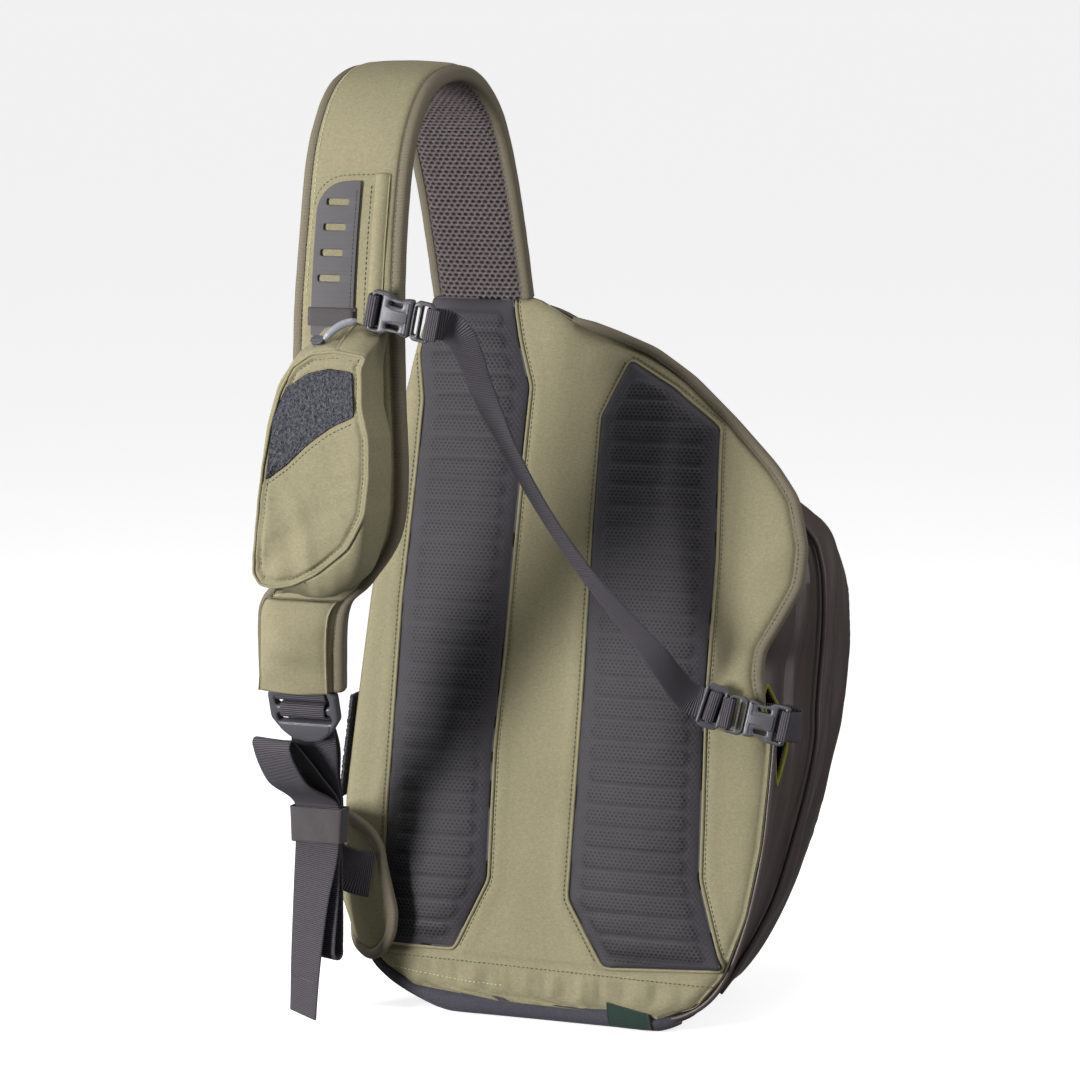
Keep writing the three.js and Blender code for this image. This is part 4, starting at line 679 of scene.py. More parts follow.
class Shade:
    def __init__(self, name):
        self.material = bpy.data.materials.new(name)
        self.material.use_nodes = True
        self.tree = self.material.node_tree
        self.shader = next(n for n in self.tree.nodes if n.type == "BSDF_PRINCIPLED")

    def put(self, socket, value):
        if isinstance(value, Value):
            self.tree.links.new(value.socket, socket)
        else:
            socket.default_value = value

    def node(self, kind, settings=None, inputs=None, out=0):
        node = self.tree.nodes.new("ShaderNode" + kind)
        for key, value in (settings or {}).items():
            setattr(node, key, value)
        if isinstance(inputs, dict):
            for key, value in inputs.items():
                self.put(node.inputs[key], value)
        else:
            for socket, value in zip(node.inputs, inputs or []):
                if value is not None:
                    self.put(socket, value)
        return Value(self, node.outputs[out])

    def cloth(self):  # millimetres over the cloth: across and along
        parts = self.node("SeparateXYZ", {}, [self.node("UVMap", {"uv_map": "cloth"})])
        x, y = parts.socket.node.outputs[:2]
        return Value(self, x) * 1000.0, Value(self, y) * 1000.0

    def place(self):
        return self.node("TexCoord", out=3)

    def noise(self, scale, detail=3.0, rough=0.55, stretch=None):
        spot = self.place()
        if stretch:
            spot = self.node("Mapping", {}, {"Vector": spot, "Scale": stretch})
        return self.node("TexNoise", {}, {"Vector": spot, "Scale": scale, "Detail": detail, "Roughness": rough})

    def mix(self, share, a, b):
        a, b = (value if isinstance(value, Value) else (*value, 1) for value in (a, b))
        return self.node("Mix", {"data_type": "RGBA"}, {0: share, 6: a, 7: b}, out=2)

    def bump(self, height, strength, distance):
        return self.node("Bump", {}, {"Height": height, "Strength": strength, "Distance": distance})

    def done(self, colour=None, roughness=None, normal=None, **fixed):
        if colour is not None:
            self.put(self.shader.inputs["Base Color"], colour if isinstance(colour, Value) else (*colour, 1))
        if roughness is not None:
            self.put(self.shader.inputs["Roughness"], roughness)
        if normal is not None:
            self.put(self.shader.inputs["Normal"], normal)
        for key, value in fixed.items():  # sheen, sheenRoughness, specular and the like
            self.shader.inputs[fixedSockets[key]].default_value = value
        return self.material


def srgb(r, g, b):
    return tuple(((c / 255 + 0.055) / 1.055) ** 2.4 if c > 10 else c / 255 / 12.92 for c in (r, g, b))


clothFinish = {"rough": 0.82, "cloudRough": 0.12, "depth": 0.0004, "sheenRough": 0.4, "specular": 0.14}


def wovenCloth(name, look):
    s = Shade(name)
    u, v = s.cloth()
    p = look["pitch"]
    over = (u * (2 * math.pi / p)).sin() * (v * (2 * math.pi / p)).sin()
    fleck = s.noise(look["fleckScale"], 4, 0.7)
    large = s.noise(9, 3, 0.5)
    thread = s.noise(1.0, 2, 0.5, (420, 420, 2600))
    share = (
        (fleck - 0.5) * look["fleck"] + (large - 0.5) * look["cloud"] + (thread - 0.5) * look["thread"] + 0.5
    )
    share = share.above(0.5, 0.5)
    colour = s.mix(share, look["dark"], look["light"])
    height = over * 0.5 + fleck * 0.7 + thread * 0.5
    fixed = clothFinish
    rough = fixed["rough"] + (large - 0.5) * fixed["cloudRough"]
    normal = s.bump(height, look["bump"], fixed["depth"])
    return s.done(
        colour, rough, normal, sheen=look["sheen"], sheenRough=fixed["sheenRough"], specular=fixed["specular"]
    )


def ribbedWeb(name, look):
    s = Shade(name)
    u, v = s.cloth()
    rib = (v * (2 * math.pi / look["pitch"])).sin() * 0.5 + 0.5
    every = (v * (math.pi / look["pitch"])).floor() * math.pi  # every other row shifts by half a turn
    yarn = (u * (2 * math.pi / (look["pitch"] * 0.62)) + every).sin() * 0.5 + 0.5
    fleck = s.noise(900, 3, 0.6)
    # painted shade: the rib wave that shapes the bump also darkens the colour in the grooves between the ribs;
    # yarn and fleck are the web's own tone
    share = rib ** 0.8 * 0.72 + yarn * 0.14 + (fleck - 0.5) * 0.5
    colour = s.mix(share.above(0.42, 0.5), look["dark"], look["light"])
    normal = s.bump(rib + yarn * 0.25 + fleck * 0.15, look["bump"], look["depth"])
    return s.done(colour, 0.62 + fleck * 0.15, normal, specular=0.25)


def padFace(name, look):
    s = Shade(name)
    u, v = s.cloth()
    p, q = look["pitch"]
    row = (v / q).floor()
    shift = (row % 2.0) * (p / 2)
    x = ((u + shift) % p) / p - 0.5
    y = (v % q) / q - 0.5
    hole = 1.0 - (x ** 2.0 + (y * 0.9) ** 2.0).above(look["hole"], 0.035)
    zone = s.node("Attribute", {"attribute_name": "holes"}, out=2)
    hole = hole * zone
    fleck = s.noise(700, 3, 0.6)
    cloud = s.noise(14, 3, 0.5)
    plain = s.mix((fleck - 0.5) * 0.9 + (cloud - 0.5) * 0.6 + 0.5, look["dark"], look["light"])
    # painted shade: each perforation is coloured near black for the shade inside it
    colour = s.mix(hole * 0.9, plain, look["holeShadeColour"])
    grain = (u * (2 * math.pi / 1.05)).sin() * (v * (2 * math.pi / 1.05)).sin()
    height = 1.0 - hole + fleck * 0.12 + grain * 0.08
    return s.done(
        colour, look["rough"] + (fleck - 0.5) * 0.2, s.bump(height, look["bump"], 0.0006), specular=0.3
    )


def airMesh(name, look):
    s = Shade(name)
    cave = s.node("Attribute", {"attribute_name": "holes"}, out=2)
    u, v = s.cloth()
    yarn = (u * (2 * math.pi / 0.9) + v * 3.0).sin() * (v * (2 * math.pi / 0.9)).sin()
    fleck = s.noise(800, 3, 0.6)
    yarnColour = s.mix(fleck.above(0.5, 0.3), look["dark"], look["light"])
    # painted shade: where the mesh sinks into its holes the colour turns near black
    colour = s.mix(cave.above(0.45, 0.3), yarnColour, look["holeShadeColour"])
    normal = s.bump(yarn * 0.3 + fleck * 0.5, look["bump"], 0.0004)
    return s.done(
        colour, look["rough"] + (fleck - 0.5) * 0.2, normal, sheen=0.06, sheenRough=0.3, specular=0.35
    )


def coatedCloth(name, look):
    s = Shade(name)
    cloud = s.noise(7, 4, 0.55)
    crease = s.noise(34, 4, 0.6, (1, 1, 0.5))
    fine = s.noise(1100, 3, 0.6)
    colour = s.mix((cloud - 0.5) * 0.9 + (fine - 0.5) * 0.3 + 0.5, look["dark"], look["light"])
    height = crease + fine * 0.03
    rough = look["rough"] + (cloud - 0.5) * 0.18 + (fine - 0.5) * 0.12
    normal = s.bump(height, look["bump"], 0.002)
    return s.done(colour, rough, normal, specular=0.5, coat=look["coat"], coatRough=0.3)


def moulded(name, look):
    s = Shade(name)
    grain = s.noise(1500, 3, 0.6)
    cloud = s.noise(60, 3, 0.5)
    colour = s.mix((grain - 0.5) * 0.4 + (cloud - 0.5) * 0.5 + 0.5, look["dark"], look["light"])
    return s.done(colour, look["rough"] + (grain - 0.5) * 0.12, s.bump(grain, 0.25, 0.0003), specular=0.5)


def pileCloth(name, look):
    s = Shade(name)
    loop = s.node("TexVoronoi", {}, {"Vector": s.place(), "Scale": 900.0})
    fleck = s.noise(520, 4, 0.75)
    colour = s.mix((fleck - 0.5) * 2.6 + 0.4, look["dark"], look["light"])
    return s.done(
        colour, 0.95, s.bump(fleck - loop * 0.6, 1.0, 0.0012), sheen=0.1, sheenRough=0.5, specular=0.1
    )


def threadYarn(name, colour):
    s = Shade(name)
    fleck = s.noise(2500, 2, 0.5)
    dark, light = tuple(c * 0.7 for c in colour), tuple(min(1, c * 1.25) for c in colour)
    return s.done(s.mix(fleck, dark, light), 0.6, None, sheen=0.2)


finish = {
    "olive": wovenCloth(
        "olive cloth",
        {
            "pitch": 0.75, "fleckScale": 620, "fleck": 0.55, "cloud": 0.35, "thread": 0.45, "bump": 0.3,
            "sheen": 0.02, "dark": srgb(104, 100, 77), "light": srgb(146, 139, 113)
        }
    ),
    "taupe": ribbedWeb(
        "taupe binding",
        {"pitch": 0.85, "bump": 0.35, "depth": 0.0003, "dark": srgb(80, 74, 61), "light": srgb(114, 106, 90)}
    ),
    "brown": coatedCloth(
        "brown coated cloth",
        {"bump": 0.35, "rough": 0.5, "coat": 0.05, "dark": srgb(42, 34, 32), "light": srgb(70, 58, 54)}
    ),
    "base": wovenCloth(
        "dark base cloth",
        {
            "pitch": 0.9, "fleckScale": 700, "fleck": 0.8, "cloud": 0.4, "thread": 0.3, "bump": 0.4,
            "sheen": 0.1, "dark": srgb(46, 44, 50), "light": srgb(74, 72, 80)
        }
    ),
    "pad": padFace(
        "perforated pad",
        {
            "rough": 0.56, "bump": 0.85, "pitch": (2.9, 2.15), "hole": 0.1, "dark": srgb(34, 32, 35),
            # the hole colour is painted shade inside the perforations
            "light": srgb(56, 53, 58), "holeShadeColour": srgb(8, 8, 9)
        }
    ),
    "air": airMesh(
        "air mesh",
        {
            "rough": 0.6, "bump": 0.6, "dark": srgb(62, 54, 54), "light": srgb(106, 94, 94),
            # the hole colour is painted shade in the mesh's hollows
            "holeShadeColour": srgb(12, 10, 11)
        }
    ),
    "web": ribbedWeb(
        "grey webbing",
        {"pitch": 1.25, "bump": 0.8, "depth": 0.0005, "dark": srgb(38, 36, 40), "light": srgb(84, 80, 86)}
    ),
    "laminate": moulded(
        "ladder laminate", {"rough": 0.78, "dark": srgb(62, 60, 63), "light": srgb(76, 74, 77)}
    ),
    "tape": wovenCloth(
        "plain tape",
        {
            "pitch": 0.6, "fleckScale": 800, "fleck": 0.5, "cloud": 0.3, "thread": 0.3, "bump": 0.3,
            "sheen": 0.1, "dark": srgb(58, 55, 56), "light": srgb(82, 78, 79)
        }
    ),
    "plastic": moulded("buckle plastic", {"rough": 0.38, "dark": srgb(56, 55, 60), "light": srgb(76, 75, 81)}),
    "sleeve": moulded(
        "pull sleeve", {"rough": 0.35, "dark": srgb(110, 112, 118), "light": srgb(138, 140, 146)}
    ),
    "pile": pileCloth("loop pile", {"dark": srgb(28, 28, 33), "light": srgb(100, 100, 108)}),
    "lime": wovenCloth(
        "slit tape",
        {
            "pitch": 0.8, "fleckScale": 700, "fleck": 0.5, "cloud": 0.3, "thread": 0.2, "bump": 0.3,
            "sheen": 0.1, "dark": srgb(106, 104, 34), "light": srgb(142, 138, 58)
        }
    ),
    "label": wovenCloth(
        "woven label",
        {
            "pitch": 0.5, "fleckScale": 900, "fleck": 0.5, "cloud": 0.2, "thread": 0.6, "bump": 0.5,
            "sheen": 0.15, "dark": srgb(28, 42, 38), "light": srgb(46, 64, 58)
        }
    ),
    "darkThread": threadYarn("dark thread", srgb(66, 66, 40)),
    "lightThread": threadYarn("light thread", srgb(178, 174, 134)),
    "taupeThread": threadYarn("taupe thread", srgb(98, 90, 74)),
    "greyThread": threadYarn("grey thread", srgb(62, 61, 68)),
}


def dress(obj, material, slotName, *nodes):
    obj.data.materials.clear()
    obj.data.materials.append(finish[material])
    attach(obj, "root")
    if nodes:
        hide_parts(*nodes)
    return obj


print("materials ready")

# Back panel and pads
panelLook = {
    "grid": 2.3, "rim": 6.6, "swell": 5.6, "swellOver": 3.5, "padBed": 1.2, "valley": 5.2, "valleyWide": 19.0,
    "seamUp": 37.0, "seamFall": 0.014, "seamDeep": 1.5, "pucker": 1.5, "pull": 0.9, "wingRoll": 2.0,
    "topFold": 1.6, "uneven": 0.22, "stitchAway": 3.4, "fill": 0.5,
    "skirt": [(0.5, 5.6), (0.6, 3.8), (0.4, 2.0), (0, 0.6), (-1.2, 0.0)],
}
wingBinding = 6.6
boundFull = inset(panelFull, wingBinding - 1.0)
panelCorners = np.where(isWing[:, None], boundFull, panelFull)
panelLine = resample(panelCorners, 2.0, True, 2.5)
footWave = ramp((34 - panelLine[:, 1]) / 20) * (panelLine[:, 0] < 74)
panelLine[:, 1] += footWave * (1.5 * softNoise(panelLine[:, :1], 26.0, 71, 3) - 0.6)
padLines = [resample(np.array(rows) * bagSize, 1.6, True, 1.6) for rows in (leftPad, rightPad)]


def insideOf(u, v, outline):  # even-odd test
    inside = np.zeros(np.shape(u), bool)
    a, b = outline, np.roll(outline, -1, 0)
    for (x0, y0), (x1, y1) in zip(a, b):
        if y0 == y1:
            continue
        cross = ((y0 > v) != (y1 > v)) & (u < (x1 - x0) * (v - y0) / (y1 - y0) + x0)
        inside ^= cross
    return inside


def panelHeight(u, v):
    edge = edgeDistance(u, v, panelLine)
    look = panelLook
    h = look["rim"] + look["swell"] * (1 - np.exp(-edge / look["swellOver"]))
    for line in padLines:
        d = edgeDistance(u, v, line)
        d = np.where(insideOf(u, v, line), -d, d)
        h += -0.5 * np.exp(-((d - 0.5) / 1.6) ** 2) + 0.9 * np.exp(-((d - 6.5) / 4.0) ** 2)
        h -= np.where(d < -1.0, look["padBed"], 0)
    # the channel between the pads sinks towards the top; the foot seam pulls in
    middle = np.exp(-((u + 8 - (v - 300) * 0.06) / look["valleyWide"]) ** 2)
    h -= look["valley"] * middle * ramp((v - 120) / 240) ** 1.2
    h -= look["seamDeep"] * np.exp(-((v - footSeam(u)) / 1.4) ** 2) * (np.abs(u) < 150)
    puck = softNoise((u, v * 0.35), 9.0, 5, 2)
    h += look["pucker"] * puck * np.exp(-((v - footSeam(u) + 13) / 9.0) ** 2) * np.clip(edge / 5, 0.25, 1)
    pull = softNoise((u * 1.25 + v * 0.5, v * 0.3), 17.0, 29, 2)
    h += look["pull"] * pull * np.exp(-((v - footSeam(u) + 16) / 10.0) ** 2)
    # long soft rolls on the wing, and small pulls all over
    wing = ramp((u - 100) / 40)
    roll = softNoise((u * 0.45 + v * 0.5, v * 0.75 - u * 0.5), 40.0, 11, 2)
    h += look["wingRoll"] * wing * roll * ramp(edge / 10)
    top = ramp((v - 385) / 50) * np.exp(-((u - 22) / 45.0) ** 2)
    h += look["topFold"] * top * softNoise((u * 1.3, v * 0.45), 26.0, 3, 2)
    h += look["uneven"] * softNoise((u, v), 21.0, 17, 3)
    return h


def footSeam(u):  # the seam under the pads
    return panelLook["seamUp"] - panelLook["seamFall"] * (u + 118)


u, v = ladderGrid(panelLine, panelLook["grid"], panelLook["grid"])
panel = slabPiece("back_cloth", u, v, panelHeight(u, v), onPanel, panelLook["skirt"])
dress(panel, "olive", "olive_cloth", "back_panel")

padLook = {
    "grid": (1.5, 1.45), "bed": 0.45, "edgeRise": 0.55, "crown": 6.6, "bandPitch": 13.4, "firstBand": 44,
    "raised": 0.7, "groove": 0.15, "margin": 8.0, "point": 5.0, "uneven": 0.25, "holesBetween": 0.32,
    "holesOnBand": 0.8, "fill": 0.7, "skirt": [(0.25, 12.2), (0.3, 11.7), (0.2, 11.2), (0, 10.6)],
}


def markHoles(obj, values):  # where the material shows its holes, vertex by vertex
    every = np.zeros(len(obj.data.vertices))
    every[: values.size] = values.ravel()
    obj.data.attributes.new("holes", "FLOAT", "POINT").data.foreach_set("value", every.astype(np.float32))


def padPiece(name, line, node):
    look = padLook
    u, v = ladderGrid(line, *look["grid"])
    d = edgeDistance(u, v, line)
    left, right = chains(line, v[:, 0])
    half = ((right - left) / 2)[:, None]
    away = np.abs(u - ((right + left) / 2)[:, None])
    share = ramp(away / half)
    ends = np.minimum(v - v.min(), v.max() - v)
    crown = ramp(1 - share**2.4) ** 0.8 * (1 - np.exp(-ends / 14.0))
    h = size["panel"] + look["bed"] + look["edgeRise"] * (1 - np.exp(-d / 1.0)) + look["crown"] * crown
    row = (v - look["firstBand"]) / look["bandPitch"]
    inRow = np.abs(row - np.floor(row) - 0.5) * 2  # 0 in the middle of a band, 1 between bands
    reach = half - look["margin"] - look["point"] * inRow**2.4
    end = ramp((reach - away) / 1.8)
    band = ramp((0.88 - inRow) / 0.2) * end
    band = band * band * (3 - 2 * band)
    live = ramp((ends - 7) / 4)
    groove = np.exp(-((inRow - 1) / 0.1) ** 2) * ramp((half - 6 - away) / 3)
    h += look["raised"] * band * live - look["groove"] * groove * live
    h += look["uneven"] * softNoise((u, v), 24.0, 23, 3)
    pad = slabPiece(name, u, v, h, onPanel, look["skirt"])
    holes = ramp(look["holesBetween"] + look["holesOnBand"] * band) * ramp(d / 3 - 0.6)
    holes *= ramp((v.max() - v - 11) / 5)
    markHoles(pad, holes)
    dress(pad, "pad", "perforated_pad", node)


padPiece("left_pad", padLines[0], "mesh_pad_left")
padPiece("right_pad", padLines[1], "mesh_pad_right")


def panelLine3(flat, lift=0.0):
    h = panelHeight(flat[:, 0], flat[:, 1])
    line = onPanel(flat[:, 0], flat[:, 1], h + lift)
    return line, np.tile(panelOut, (len(line), 1))


runs = []
for line in padLines:
    around = inset(line, -panelLook["stitchAway"])
    around = resample(around, 1.2, True, 1.0)
    keep = (around[:, 1] > 40) & insideOf(around[:, 0], around[:, 1], inset(panelLine, 2.0))
    breaks = np.flatnonzero(np.diff(np.concatenate([[0], keep.astype(int), [0]])))
    for a, b in zip(breaks[::2], breaks[1::2]):
        if b - a > 8:
            runs.append(panelLine3(around[a:b]))
across = np.linspace(-116, 108, 200)
runs.append(panelLine3(np.stack([across, footSeam(across) - 3.0], -1)))
dress(threadPiece("panel_stitches", runs), "darkThread", "olive_cloth")
across = np.linspace(-110, -30, 60)
tail = np.stack([across, 26 - 6 * np.sin((across + 110) / 80 * math.pi * 0.5)], -1)
dress(threadPiece("foot_stitches", [panelLine3(tail)]), "lightThread", "olive_cloth")

# Piping beside each pad
pipingLook = {"outside": 0.85, "lift": 0.8, "wide": 2.3, "tall": 2.1, "corner": 1.0}
for k, line in enumerate(padLines):
    around = resample(inset(line, -pipingLook["outside"]), 2.0, True, 1.4)
    h = panelHeight(around[:, 0], around[:, 1])
    centre = onPanel(around[:, 0], around[:, 1], h + pipingLook["lift"])
    side, out = framesAlong(centre, np.tile(panelOut, (len(centre), 1)), True)
    ring = roundSection(pipingLook["wide"], pipingLook["tall"], pipingLook["corner"], 3, 2)
    dress(tubePiece("pad_piping_" + "lr"[k], swept(centre, side, out, ring), True), "olive", "olive_cloth")

# Binding round the wing
rows = np.flatnonzero(isWing)
middle = inset(panelFull, wingBinding / 2)[rows]
lead = middle[0] + (middle[0] - middle[1]) * 0.12
middle = resample(np.vstack([lead, middle]), 2.0, False, 4.0)
bindingLook = {"thick": 7.6, "level": 7.4, "uneven": 0.35, "corner": 2.9}
wave = bindingLook["uneven"] * softNoise(middle, 30.0, 2, 2)
centre = onPanel(middle[:, 0], middle[:, 1], bindingLook["level"] + wave)
side, out = framesAlong(centre, np.tile(panelOut, (len(centre), 1)))
section = roundSection(bindingLook["thick"], wingBinding, bindingLook["corner"], 5, 5)
taper = np.ones(len(centre))
taper[:8] = np.linspace(0.55, 1, 8)
taper[-6:] = np.linspace(1, 0.6, 6)
sections = section[None] * taper[:, None, None]
dress(
    tubePiece("wing_edge_binding", sweepPoints(centre, side, out, sections)), "taupe", "taupe_binding",
    "wing_binding"
)
inner = resample(inset(panelFull, wingBinding - 1.5)[rows], 1.2, False, 4.0)[3:-3]
faceLevel = bindingLook["level"] + bindingLook["thick"] / 2 + 0.1
faceLine = onPanel(inner[:, 0], inner[:, 1], faceLevel)
faceOut = np.tile(panelOut, (len(faceLine), 1))
dress(threadPiece("wing_binding_stitches", [(faceLine, faceOut)]), "taupeThread", "taupe_binding")
print("back panel done")

# Body of the bag
bodyLook = {"around": 320, "deep": 90, "slow": 2.2, "quick": 0.45, "ridge": 1.6}
around = np.linspace(0, 38, bodyLook["around"], endpoint=False)
deep = np.linspace(0, len(depthRows) - 1, bodyLook["deep"])
baseShare = column(isBase.astype(float)[:, None], around, True)[:, 0]
baseSink = ramp(baseShare * 1.15) * (size["baseWall"] + size["gap"])


# creases of the gusset: how far behind the panel, width, height, from, to
creaseRows = [
    (22, 4.5, -2.6, 90, 330), (31, 3.6, 2.8, 60, 380), (44, 4.0, -3.0, 120, 400), (78, 6.0, 3.4, 40, 420),
    (92, 5.0, -3.6, 70, 390), (108, 5.0, 3.2, 150, 430), (124, 6.0, -3.2, 60, 360), (138, 5.0, 2.6, 30, 300),
]


def bodyFolds(p):  # long soft creases of coated cloth
    right = ramp((p[..., 0] - 40) / 60)
    side = np.abs(p[..., 0]) / 150
    slow = softNoise(p * np.array([0.6, 1.5, 0.28]), 62.0, 41, 2)
    quick = softNoise(p * np.array([1.2, 1.6, 0.55]), 34.0, 59, 3)
    ridge = 1 - np.abs(softNoise(p * np.array([1, 1.7, 0.36]), 58.0, 77, 2)) * 1.6
    behind = p[..., 1] + size["backFoot"] - p[..., 2] * math.tan(size["lean"])
    creases = np.zeros(p.shape[:-1])
    for k, (at, wide, tall, low, high) in enumerate(creaseRows):
        drift = softNoise(p[..., 2:3], 150.0, 90 + k, 2) * 7
        window = ramp((p[..., 2] - low) / 45) * ramp((high - p[..., 2]) / 45)
        creases += tall * window * np.exp(-(((behind - at - drift) / wide) ** 2))
    folds = bodyLook["slow"] * slow * (0.5 + side) + bodyLook["quick"] * quick
    return folds + bodyLook["ridge"] * ramp(ridge) ** 3 + creases * (0.35 + 0.65 * right)


outer = bagGrid(around, deep, baseSink)
inner = bagGrid(around[::2], deep[::2], baseSink[::2] + size["shellWall"])
inner[..., 1] -= np.linspace(0, size["shellWall"], inner.shape[1])[None]
normal = np.cross(np.gradient(outer, axis=1), np.roll(outer, -1, 0) - np.roll(outer, 1, 0))
normal /= np.maximum(np.linalg.norm(normal, axis=-1, keepdims=True), 1e-9)
centre = outer.mean((0, 1))
if np.sum(normal * (outer - centre)) < 0:
    normal = -normal
depthShare = np.linspace(0, 1, bodyLook["deep"])
calm = ramp(depthShare * 5)[None] * ramp(1 - baseShare * 1.3)[:, None] * ramp((1 - depthShare) * 8)[None]
outer = outer + normal * (bodyFolds(outer) * calm)[..., None]


def shellPiece(name, outer, inner):  # two grids joined at the rim, each closed by its own pole
    n, m = outer.shape[:2]
    k, q = inner.shape[:2]
    faces, _ = gridFaces(n, m, True, False)
    faces = faces.tolist()
    back, _ = gridFaces(k, q, True, False, n * m)
    faces += [f[::-1] for f in back.tolist()]
    pole = [i * m + m - 1 for i in range(n)]
    faces.append(pole[::-1])
    faces.append([n * m + i * q + q - 1 for i in range(k)])
    step = n // k
    for i in range(k):
        a = [((i * step + s) % n) * m for s in range(step + 1)]
        b = [n * m + i * q, n * m + ((i + 1) % k) * q]
        faces.append(a[::-1] + b)
    points = np.concatenate([outer.reshape(-1, 3), inner.reshape(-1, 3)])
    return addMesh(name, points, faces)


shoulder = {"by": 11, "low": 296, "over": 34, "high": 430, "fade": 50}


def pulledIn(p):  # the gusset's upper right side comes in a little
    share = ramp((p[..., 2] - shoulder["low"]) / shoulder["over"])
    right = ramp((p[..., 0] - 40) / 60)
    p[..., 0] -= (
        shoulder["by"] * share**2 * (3 - 2 * share) * right
        * ramp((shoulder["high"] - p[..., 2]) / shoulder["fade"])
    )
    return p


outer, inner = pulledIn(outer), pulledIn(inner)
body = shellPiece("gusset_and_front", outer, inner)

# The slit in the right gusset
slit = {
    "up": 0.425 * size["height"], "low": 10, "long": 60, "wide": 14, "back": 3.0, "edge": 0.424 * size["width"],
    "lip": 1.2, "tabWide": 8, "tabBack": 6, "cutFrom": -24, "cutTo": 30,
    "tape": [(-0.4, -1.5), (-0.5, 0.8), (0.0, 1.5), (0.6, 1.6), (1.0, 1.1), (0.9, -0.4)],
}
gussetRows = table[9:20] * np.tile(bagSize, 3)


def gussetRight(up, behind):  # how far to the right the gusset lies
    near, far = (np.interp(-up, -gussetRows[:, k + 1], gussetRows[:, k]) for k in (2, 4))
    return near + (far - near) * np.interp(behind / size["depth"], depthRows[:, 0], depthRows[:, 1])


def slitRing(grow, x, count=48, follow=True):
    t = np.linspace(0, 2 * math.pi, count, endpoint=False)
    upDown = (slit["long"] / 2 + grow * 2) * np.cos(t)
    across = (slit["wide"] / 2 + grow) * np.sin(t) * np.abs(np.sin(t)) ** 0.7
    point = onPanel(np.full(count, float(x)), slit["up"] - slit["low"] + upDown)
    behind = slit["back"] + slit["wide"] / 2 + across
    point[:, 1] += behind
    if follow:
        point[:, 0] += gussetRight(point[:, 2], behind)
    return point


cutEnds = [slitRing(0, slit["edge"] + slit[end], follow=False) for end in ("cutFrom", "cutTo")]
cutter = tubePiece("slit_cutter", np.stack(cutEnds))
cut = body.modifiers.new("slit", "BOOLEAN")
cut.operation, cut.object, cut.solver = "DIFFERENCE", cutter, "EXACT"
mesh = bpy.data.meshes.new_from_object(body.evaluated_get(bpy.context.evaluated_depsgraph_get()))
body.modifiers.clear()
body.data = mesh
bpy.data.objects.remove(cutter)
mesh.polygons.foreach_set("use_smooth", [True] * len(mesh.polygons))
mesh.set_sharp_from_angle(angle=math.radians(50))
dress(body, "brown", "coated_cloth", "body_shell")
tapeRings = np.stack([slitRing(grow, x) for grow, x in slit["tape"]])
dress(tubePiece("slit_lining", tapeRings, True), "lime", "slit_tape", "slit_facing")

# Welt over the bag, with its cord inside
weltAway = 0.4
clear = size["weltSize"] / 2 + size["gap"] + weltAway
first = np.flatnonzero(isBase)[-1] + 1
count = int((~isBase).sum())
rows = np.linspace(first, first + count - 1, 150)
line = bagGrid(rows, [2.0], np.full(len(rows), -clear))[:, 0]
line = pulledIn(blurred(line, 1.0, False))
side, out = framesAlong(line, np.tile([0.0, 1, 0], (len(line), 1)))
weltSection = roundSection(size["weltSize"], size["weltSize"], 1.9, 4, 2)
dress(tubePiece("welt_cord", swept(line, side, out, weltSection)), "brown", "coated_cloth", "side_welt")

# Base cloth
baseLook = {"around": 90, "deep": 34, "uneven": 0.7}
baseFirst, baseLast = np.flatnonzero(isBase)[[0, -1]]
rows = np.linspace(baseFirst, baseLast, baseLook["around"])
deepBase = np.linspace(0, 4, baseLook["deep"])
under = bagGrid(rows, deepBase, np.zeros(len(rows)))
above = bagGrid(rows, deepBase, np.full(len(rows), float(size["baseWall"])))
flatShare = ramp((under[..., 2] - 1.0) / 8)
under[..., 2] += baseLook["uneven"] * flatShare * softNoise(under * np.array([1, 0.6, 0.4]), 24.0, 8, 2)
dress(tubePiece("base_wrap", np.concatenate([under, above[:, ::-1]], 1)), "base", "base_cloth", "base_cloth")

# The base cloth's roll in front of the panel's foot, and the gusset's piping on the right
rollLook = {"steps": 170, "section": 30, "swell": 0.12, "lift": 0.5, "endSteps": 14}
rollRows = np.linspace(baseFirst - 0.6, baseLast + 0.4, rollLook["steps"])
lowEdge, highEdge = column(bagNear, rollRows, True), column(panelFull, rollRows, True)
wave = softNoise(lowEdge, 34.0, 61, 2)
# share of the way up to the panel's edge, height above the panel's back
rollShape = np.array([
    (0.0, 0.2), (-0.02, 2.5), (0.02, 5.0), (0.16, 7.4), (0.42, 8.8), (0.72, 9.0), (1.0, 7.6), (1.2, 5.0),
    (1.25, 0.2),
])
shape = column(rollShape, np.linspace(0, len(rollShape) - 1, rollLook["section"]))
spot = lowEdge[:, None] + (highEdge - lowEdge)[:, None] * shape[None, :, :1]
level = np.maximum(shape[None, :, 1] * (1 + rollLook["swell"] * wave[:, None]), 0.1)
lifted = spot[..., 1] + rollLook["lift"] * wave[:, None] * ramp(shape[None, :, 0])
spot[..., 1] = np.maximum(lifted, 0.15)
step = np.arange(rollLook["steps"])
taper = np.clip(np.minimum(step, step[::-1]) / rollLook["endSteps"], 0.12, 1) ** 0.6
roll = onPanel(spot[..., 0], spot[..., 1], level * taper[:, None])
dress(tubePiece("base_roll", roll), "base", "base_cloth")
cordLook = {"from": 15.8, "to": 22.6, "outside": 1.6, "lowest": 2.2, "level": 3.2, "wide": 3.6}
rows = np.linspace(cordLook["from"], cordLook["to"], 90)
flat = blurred(column(inset(panelFull, -cordLook["outside"]), rows, True), 3.0, False)
centre = onPanel(flat[:, 0], np.maximum(flat[:, 1], cordLook["lowest"]), cordLook["level"])
